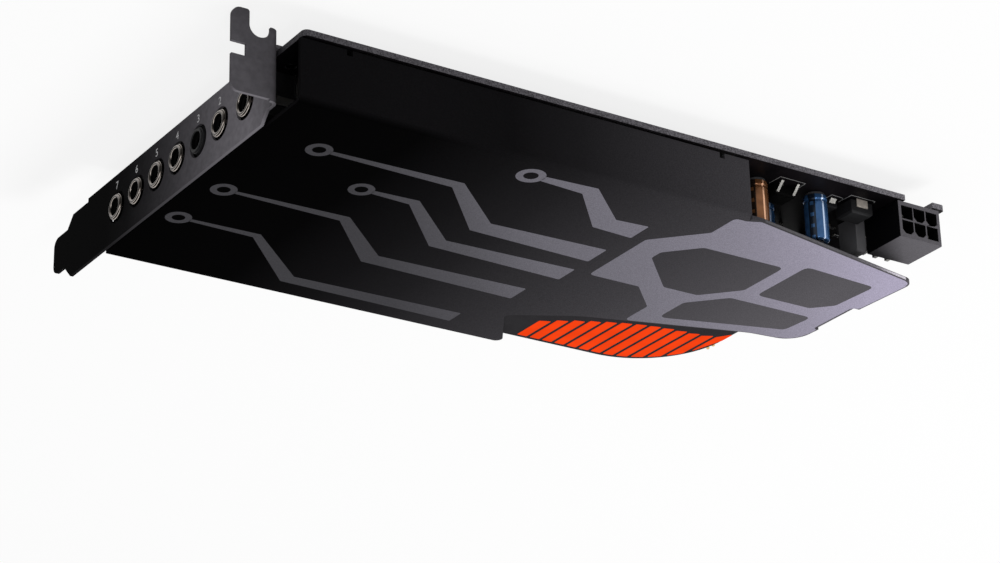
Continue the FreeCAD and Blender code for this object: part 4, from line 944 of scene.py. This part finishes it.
def bare_can_profile(radius, height):
    """A small can without a sleeve: a narrow groove near the foot, and a quarter circle for its crown."""
    bend = np.linspace(0, math.pi / 2, 6)
    crown = 0.4 * MM
    profile = [(radius - 0.3 * MM, 0), (radius, 0.2 * MM), (radius, 0.6 * MM),
               (radius - 0.25 * MM, 0.85 * MM), (radius, 1.1 * MM)]
    profile += list(zip(radius - crown * (1 - np.cos(bend)), height - crown * (1 - np.sin(bend))))
    return np.array(profile)


print("points of a can's profile:", len(can_profile(*round_size("blue_capacitors"))))

# %% [markdown]
# A can's sleeve is printed with a dark stripe for its minus side and short bars in the stripe, and a thin
# pale line beside them is a painted highlight. The print and the highlight follow the surface, so they read a
# UV map of the piece's own: U goes once round, V up the can.

# %% The cans' sleeves
# Places and half widths round a can, as shares of a turn.
STRIPE_TURN = 0.41
STRIPE_HALF = 0.05
DASH_HALF = 0.025
HIGHLIGHT_TURN = 0.25
HIGHLIGHT_HALF = 0.013
# Steps and half heights up a can, in centimetres.
DASH_STEP = 0.32
DASH_RISE = 0.05


def near_value(material, value, middle, reach):
    """1 where a value is within a reach of a middle, and 0 elsewhere."""
    return worked_out(material, "COMPARE", value, middle, reach)


def can_finish(name, colour, mark, line):
    """A shrunk sleeve of a colour, with a stripe of a mark's colour and a painted highlight: a thin line of
    the line's colour.
    """
    material = finish(name, colour, 0.2, metallic=0.45, specular=0.3)
    split = put(material, "ShaderNodeSeparateXYZ")
    joined(material, put(material, "ShaderNodeUVMap").outputs["UV"], split.inputs["Vector"])
    around, up = split.outputs["X"], split.outputs["Y"]
    stripe = near_value(material, around, STRIPE_TURN, STRIPE_HALF)
    dash_column = near_value(material, around, STRIPE_TURN, DASH_HALF)
    step = worked_out(material, "MODULO", up, DASH_STEP)
    dash_row = near_value(material, step, DASH_STEP / 2, DASH_RISE)
    dashes = worked_out(material, "MULTIPLY", dash_column, dash_row)
    marked = worked_out(material, "SUBTRACT", stripe, dashes)
    shade = tuple(side * 0.7 for side in colour)
    sleeve_tone = between(material, cloud(material, 2.5 * MM, 4), shade, colour)
    # A painted highlight: a thin pale line at a fixed turn round the can.
    sleeve_tone = mixed(material, near_value(material, around, HIGHLIGHT_TURN, HIGHLIGHT_HALF), sleeve_tone, line)
    coloured(material, mixed(material, marked, sleeve_tone, mark))
    grained(material, cloud(material, 0.5 * MM), 0.003 * MM)
    return material


def with_turn_uv(piece, sides):
    """A UV map for turned pieces: U is the turn from 0 to 1 and V the height in centimetres.

    A face that closes the turn ends at 1, not at 0.
    """
    mesh = piece.data
    index = read(mesh.loops, "vertex_index", kind=int)
    height = read(mesh.vertices, "co", 3)[index, 2]
    turn = (index % sides) / sides
    sizes = read(mesh.polygons, "loop_total", kind=int)
    face = np.repeat(np.arange(len(sizes)), sizes)
    highest = np.zeros(len(sizes))
    np.maximum.at(highest, face, turn)
    turn = np.where((turn == 0) & (highest[face] > 0.5), 1.0, turn)
    layer = mesh.uv_layers.new(name="turn")
    layer.data.foreach_set("uv", np.column_stack([turn, height * 100]).ravel())


CAN_SIDES = 48
# Each can: the sleeve's colour, the stripe's colour and the colour of its painted highlight.
CAN_COLOURS = {
    "bronze_capacitors": ((0.24, 0.1, 0.04), (0.025, 0.015, 0.01), (0.9, 0.5, 0.3)),
    "blue_capacitors": ((0.045, 0.125, 0.29), (0.012, 0.02, 0.035), (0.55, 0.68, 0.9)),
}
for name, colours in CAN_COLOURS.items():
    radius, height = round_size(name)
    part = shifted(turned(can_profile(radius, height), CAN_SIDES), feet_of(name))
    can_sleeve = can_finish(name + "_sleeve", *colours)
    with_turn_uv(made(name + "_sleeved", part, can_sleeve, [name], smooth=True), CAN_SIDES)
    crowns = shifted(turned(crown_profile(height), 32), feet_of(name))
    made(name + "_crowns", crowns, drawn_aluminium, smooth=True)

# %% [markdown]
# The plugs under the cans and the small cans without a sleeve are turned in the same way. Only the profile,
# the number of sides and the finish differ, so one loop makes both.

# %% Rubber plugs and small cans
ROUND_PARTS = {
    "capacitor_bungs": ("moulded", plug_profile, 32, rubber),
    "small_capacitors": ("drawn", bare_can_profile, 36, drawn_aluminium),
}
for name, (way, profile_of, sides, material) in ROUND_PARTS.items():
    part = shifted(turned(profile_of(*round_size(name)), sides), feet_of(name))
    made(f"{name}_{way}", part, material, [name], smooth=True)

# %% [markdown]
# ## Chip parts
#
# A chip capacitor is a ceramic block with a tinned cap at each end, and a chip resistor a glazed one. Both
# are a few dozen faces, copied to every place where the model has a block.

# %% Blocks with tinned ends
def small_block(half_x, half_y, low, high):
    """A block with its upper edges cut back a little."""
    cut = 0.08 * MM
    base = box_outline(-half_x, -half_y, half_x, half_y)
    top = box_outline(-half_x + cut, -half_y + cut, half_x - cut, half_y - cut)
    levels = ((base, low), (base, high - cut), (top, high))
    points = np.vstack([np.column_stack([outline, np.full(4, height)]) for outline, height in levels])
    faces = grid_faces(3, 4) + [[3, 2, 1, 0], [8, 9, 10, 11]]
    return points, faces


END_CAP = 0.45 * MM
SKIN = 0.03 * MM
for name, material in (("ceramic_capacitors", ceramic), ("chip_resistors", resistor_glaze)):
    low, high = solids_of(name)[0]
    half_x, half_y, half_z = (high - low) / 2
    body = small_block(half_x - SKIN, half_y - SKIN, SKIN, half_z * 2 - SKIN)
    cap = small_block(END_CAP / 2, half_y, 0, half_z * 2)
    cap_place = half_x - END_CAP / 2
    caps = shifted(cap, [(-cap_place, 0, 0), (cap_place, 0, 0)])
    made(name + "_bodies", shifted(body, feet_of(name)), material, [name])
    made(name + "_ends", shifted(caps, feet_of(name)), tin)

# %% [markdown]
# ## Screw heads
#
# A screw head with a cross recess is a height over the head's disc: a shallow dome, less a cross that is
# deepest in the middle. Where the distance across either arm of the cross is small, the surface sinks.

# %% Heads with a cross recess
HEAD_HEIGHT = 1.7 * MM
SHANK_RADIUS = 1.45 * MM
SCREW_SIDES = 64
# The cross, as shares of the head's radius.
ARM_HALF = 0.13
ARM_REACH = 0.66


def screw_part(head_radius, length):
    """A pan head, its top facing down, with its shank upwards.

    The head's top lies at head height * (dome - 0.6 * sink) over a disc of radius 1. The dome is
    1 - 0.22 * r^2, with a cut rim over the last tenth. The sink is 1 in the middle of the cross. It runs out
    at the arms' reach, and on their flanks, where the smaller of |x| and |y| nears the arm's half width.
    """
    rings = np.concatenate([[0.06], np.linspace(0.14, 0.92, 11), [0.97, 1.0]])
    turn = np.linspace(0, 2 * math.pi, SCREW_SIDES, endpoint=False)
    radius, angle = np.meshgrid(rings, turn, indexing="ij")
    x, y = radius * np.cos(angle), radius * np.sin(angle)
    across = np.minimum(np.abs(x), np.abs(y))
    sink = np.clip((ARM_HALF - across) / 0.04, 0, 1) * np.clip((ARM_REACH - radius) / 0.3, 0, 1)
    dome = 1 - 0.22 * radius ** 2 - 0.3 * np.clip((radius - 0.9) / 0.1, 0, 1)
    top = HEAD_HEIGHT * (dome - 0.6 * sink)
    cap = np.stack([x * head_radius, y * head_radius, -top], axis=-1).reshape(-1, 3)
    shank = np.array([(head_radius, 0), (SHANK_RADIUS, 0), (SHANK_RADIUS, length - 0.4 * MM),
                      (SHANK_RADIUS - 0.4 * MM, length)])
    shank_points, shank_faces = turned(shank, SCREW_SIDES)
    rim = (len(rings) - 1) * SCREW_SIDES
    first = len(cap)
    around = [(i, (i + 1) % SCREW_SIDES) for i in range(SCREW_SIDES)]
    faces = grid_faces(len(rings), SCREW_SIDES) + [list(range(SCREW_SIDES))[::-1]]
    faces += [[rim + i, rim + following, first + following, first + i] for i, following in around]
    faces += [[index + first for index in face] for face in shank_faces[:-2] + shank_faces[-1:]]
    return np.vstack([cap, shank_points]), faces


def turned_outwards(mesh):
    """Recalculates a closed mesh's normals, so that they all point outwards."""
    work = bmesh.new()
    work.from_mesh(mesh)
    bmesh.ops.recalc_face_normals(work, faces=work.faces)
    work.to_mesh(mesh)
    work.free()


for name in ("cover_screws", "bracket_screws"):
    screws = []
    for low, high in solids_of(name):
        part = screw_part((high[0] - low[0]) / 2, high[2] - low[2] - HEAD_HEIGHT)
        seat = (*(low + high)[:2] / 2, low[2] + HEAD_HEIGHT)
        screws.append(shifted(part, seat))
    piece = made(name + "_cut", gathered(screws), screw_oxide, [name], smooth=True)
    turned_outwards(piece.data)

# %% [markdown]
# ## Numbers by the jacks
#
# A bracket tells its jacks apart by small printed marks. Here they are plain numbers, one to seven, counted
# from the tab. A text object is turned into a mesh before it is laid on the sheet.

# %% Print the numbers
NUMBER_SIZE = 3.0 * MM
NUMBER_DROP = 6.0 * MM
STRIP_FACE = 4.4 * MM


def number_part(text):
    """A number's mesh, standing on the XY plane with its middle at the origin."""
    curve = bpy.data.curves.new("number", "FONT")
    curve.body = text
    curve.size = NUMBER_SIZE
    curve.align_x = "CENTER"
    curve.align_y = "CENTER"
    curve.extrude = 0.01 * MM
    source = bpy.data.objects.new("number", curve)
    mesh = bpy.data.meshes.new_from_object(source)
    points = read(mesh.vertices, "co", 3)
    faces = [list(face.vertices) for face in mesh.polygons]
    bpy.data.objects.remove(source)
    bpy.data.curves.remove(curve)
    bpy.data.meshes.remove(mesh)
    return points, faces


def on_strip(part, y, z):
    """A part laid on the strip at a place: it reads along Y from outside, with its top towards minus Z."""
    points, faces = part
    return np.column_stack([STRIP_FACE - points[:, 2], y + points[:, 0], z - points[:, 1]]), faces


centres = np.concatenate([solids_of("jack_rings"), solids_of("black_jack_sleeve")]).mean(axis=1)
centres = centres[np.argsort(-centres[:, 1])]
numbers = [on_strip(number_part(str(count)), y, z - NUMBER_DROP)
           for count, (x, y, z) in enumerate(centres, 1)]
made("jack_numbers", gathered(numbers), white_ink)

# %% [markdown]
# ## Solder
#
# On the solder side every pin ends in a small cone of solder with a waisted flank. Its profile is a radius
# that falls off quickly and then slowly with height. The pins' places come from the parts on the other
# face: the middle of each part's box, or a point at its side, plus the offsets of its pins.

# %% Solder cones under the board
def pins_of(name, offsets, anchor=(0.5, 0.5)):
    """Places under each solid of a node: its box at an anchor's share, plus each offset in millimetres."""
    boxes = solids_of(name)[:, :, :2]
    starts = boxes[:, 0] + (boxes[:, 1] - boxes[:, 0]) * anchor
    places = (starts[:, None] + np.array(offsets) * MM).reshape(-1, 2)
    return np.column_stack([places, np.full(len(places), BOARD_BOTTOM)])


def cone_profile(steps=6):
    """A cone 0.9 mm high. Its radius is 0.25 + 0.65 * (1 - rise)^2.2 mm, as the rise goes from 0 to 1."""
    rise = np.linspace(0, 1, steps)
    return np.column_stack([0.25 + 0.65 * (1 - rise) ** 2.2, rise * 0.9]) * MM


CAN_PINS = [(0, -1.25), (0, 1.25)]
FILM_PINS = [(0, -2.5), (0, 2.5)]
RELAY_PINS = [(column, side) for column in (-3.8, -1.3, 1.3, 3.8) for side in (-2.5, 2.5)]
JACK_PINS = [(3.0, 0), (7.2, 0), (11.4, 0), (9.0, 3.4)]
pins = np.vstack([
    pins_of("bronze_capacitors", CAN_PINS),
    pins_of("blue_capacitors", CAN_PINS),
    pins_of("film_capacitors", FILM_PINS),
    pins_of("black_film_capacitor", FILM_PINS),
    pins_of("output_relays", RELAY_PINS),
    pins_of("front_panel_pins", [(0, 0)]),
    pins_of("power_socket_pins", [(0, 0.6)], (0.5, 0)),
    pins_of("jack_housings", JACK_PINS, (0, 0.5)),
    pins_of("black_jack_housing", JACK_PINS, (0, 0.5)),
])
cone_points, cone_faces = turned(cone_profile(), 12)
made("solder_cones", shifted((cone_points * [1, -1, -1], cone_faces), pins), tin, smooth=True)

# %% [markdown]
# ## Tracks under the mask
#
# Copper tracks lie under the solder mask and show as faint ridges. Each track is a path that runs along the
# card with a 45 degree step, and a flat band a third of a millimetre wide follows it. Both its ends are
# vias, small plated holes that lead to the other face: flat rings that stand a little higher than the
# track.

# %% Tracks on both faces
TRACK_WIDTH = 0.3
LANES = 6
LANE_PITCH = 0.7


def group_of_tracks(random):
    """Paths side by side, from random draws of their start, length and step."""
    left = random.uniform(12, 130)
    length = random.uniform(18, 50)
    start = random.uniform(-80, -4)
    jog = random.choice([-1, 1]) * random.uniform(3, 9)
    if not -80 < start + jog < 4:
        jog = -jog
    paths = []
    for lane in range(LANES):
        y = start - lane * LANE_PITCH
        knee = left + length * 0.4 + lane * 0.29 * np.sign(jog)
        paths.append([(left, y), (knee, y), (knee + abs(jog), y + jog), (left + length + abs(jog), y + jog)])
    return paths


seeded = np.random.default_rng(7)
via_points, via_faces = turned(np.array(box_outline(0.17, -0.02, 0.42, 0.045)) * MM, 12, closed=True)
for label, surface, out in (("component", BOARD_TOP, 1), ("solder", BOARD_BOTTOM, -1)):
    groups = [group_of_tracks(seeded) for group in range(9)]
    low, high = sorted((surface - out * 0.02 * MM, surface + out * 0.03 * MM))
    tracks = [slab(ribbon(path, TRACK_WIDTH) * MM, low, high) for paths in groups for path in paths]
    made(f"tracks_{label}_side", gathered(tracks), track_mask)
    ends = np.array([path[end] for paths in groups for path in paths[::2] for end in (0, -1)]) * MM
    via = (via_points * [1, 1, out], [face[::out] for face in via_faces])
    places = np.column_stack([ends, np.full(len(ends), surface)])
    made(f"vias_{label}_side", shifted(via, places), via_metal)

# %% [markdown]
# A board's maker prints the outline of each part in white, so that whoever fits it can see its place. These
# are plain corner lines beside the parts at the card's open end.

# %% Outlines printed on the board
OUTLINES = [
    [(150.7, 0.3), (150.9, 5.0), (159.1, 4.9), (159.3, 1.1)],
    [(173.4, 2.2), (173.3, 2.8), (169.5, 3.0), (169.2, -1.5)],
    [(182.3, 4.6), (182.1, 5.4), (174.1, 5.4), (173.8, 0.3)],
]
LINE_WIDTH = 0.15
LINE_LOW = BOARD_TOP - 0.02 * MM
LINE_HIGH = BOARD_TOP + 0.04 * MM
lines = [slab(ribbon(path, LINE_WIDTH) * MM, LINE_LOW, LINE_HIGH) for path in OUTLINES]
made("board_outlines", gathered(lines), board_ink)

# %% [markdown]
# ## Floor, light and camera
#
# The card lies on a plain pale floor. The world gives an even light, one large soft lamp gives the sheen,
# and a small one fills the near side. The background is white because camera, glossy and transmission rays
# see a strength of one, while the light that falls on the card stays plain.

# %% The floor
def seen_directly(owner):
    """1 for a ray from the camera, off a glossy surface or through glass, and 0 for light on the object."""
    ray = put(owner, "ShaderNodeLightPath").outputs
    seen = worked_out(owner, "MAXIMUM", ray["Is Camera Ray"], ray["Is Glossy Ray"])
    return worked_out(owner, "MAXIMUM", seen, ray["Is Transmission Ray"])


def shown(owner, share, first, second, output):
    """Sends a mix of two shaders, with a share of the second, to the output."""
    blend = put(owner, "ShaderNodeMixShader")
    for target, source in zip(blend.inputs, (share, first, second)):
        joined(owner, source, target)
    joined(owner, blend.outputs[0], owner.node_tree.nodes[output].inputs["Surface"])


FLOOR_HALF = 4.0
FLOOR_WHITE = 0.84
floor_corners = box_outline(-FLOOR_HALF, -FLOOR_HALF, FLOOR_HALF, FLOOR_HALF)
floor_mesh = bpy.data.meshes.new("floor")
floor_mesh.from_pydata([(x, y, cad_box[0][2]) for x, y in floor_corners], [], [(0, 1, 2, 3)])
floor_paint = finish("floor_paint", (0.93, 0.93, 0.93), 0.9, specular=0.0)
paper_white = put(floor_paint, "ShaderNodeEmission", Strength=1.0)
white_share = worked_out(floor_paint, "MULTIPLY", seen_directly(floor_paint), FLOOR_WHITE)
shown(floor_paint, white_share, shader_of(floor_paint).outputs[0], paper_white.outputs[0], "Material Output")
floor_mesh.materials.append(floor_paint)
floor = in_scene("floor", floor_mesh)
print("floor at", round(cad_box[0][2] / MM, 2), "mm")

# %% [markdown]
# The large lamp stands beyond the card's free end and the small one beyond its near edge, and both are
# turned towards the card. The world does the rest, so shadows stay soft and pale.

# %% The world and the lamps
world = bpy.data.worlds.new("studio")
bpy.context.scene.world = world
world.use_nodes = True
even_light = world.node_tree.nodes["Background"]
even_light.inputs["Color"].default_value = (1, 1, 1, 1)
even_light.inputs["Strength"].default_value = 0.45
white = put(world, "ShaderNodeBackground", Color=(1, 1, 1, 1), Strength=1.0)
shown(world, seen_directly(world), even_light.outputs[0], white.outputs[0], "World Output")


def soft_lamp(name, place, aim, size, power):
    """A square area lamp at a place, turned towards a point."""
    data = bpy.data.lights.new(name, "AREA")
    data.size = size
    data.energy = power
    lamp = in_scene(name, data)
    lamp.location = place
    x, y, z = np.subtract(aim, place)
    lamp.rotation_euler = (math.atan2(math.hypot(x, y), -z), 0, math.atan2(y, x) - math.pi / 2)
    print(f"{name}: {power} W over {size} m")


soft_lamp("key", (0.8, 0.1, 1.0), (0.12, -0.03, 0.02), 0.7, 9)
soft_lamp("fill", (-0.25, 0.9, 0.75), (0.1, -0.03, 0.02), 0.22, 2)

# %% [markdown]
# The camera's place, turn and lens were fitted to points of the real card whose sizes are known. It looks
# down on the cover from beyond the near edge, and it is rolled over, so the solder side is at the top of
# the picture.

# %% The camera
camera_data = bpy.data.cameras.new("camera")
camera_data.sensor_width = 36
camera_data.lens = 106.642
camera_data.shift_x = -0.007
camera_data.shift_y = -0.05215
camera_data.clip_start = 0.01
camera = in_scene("camera", camera_data)
camera.location = (-0.294129, 0.540075, 0.330805)
camera.rotation_euler = [math.radians(angle) for angle in (-65.62571, -1.42701, 33.24131)]
bpy.context.scene.camera = camera
bpy.context.scene.view_settings.view_transform = "Standard"
print("camera set, lens", round(camera_data.lens, 1), "mm")
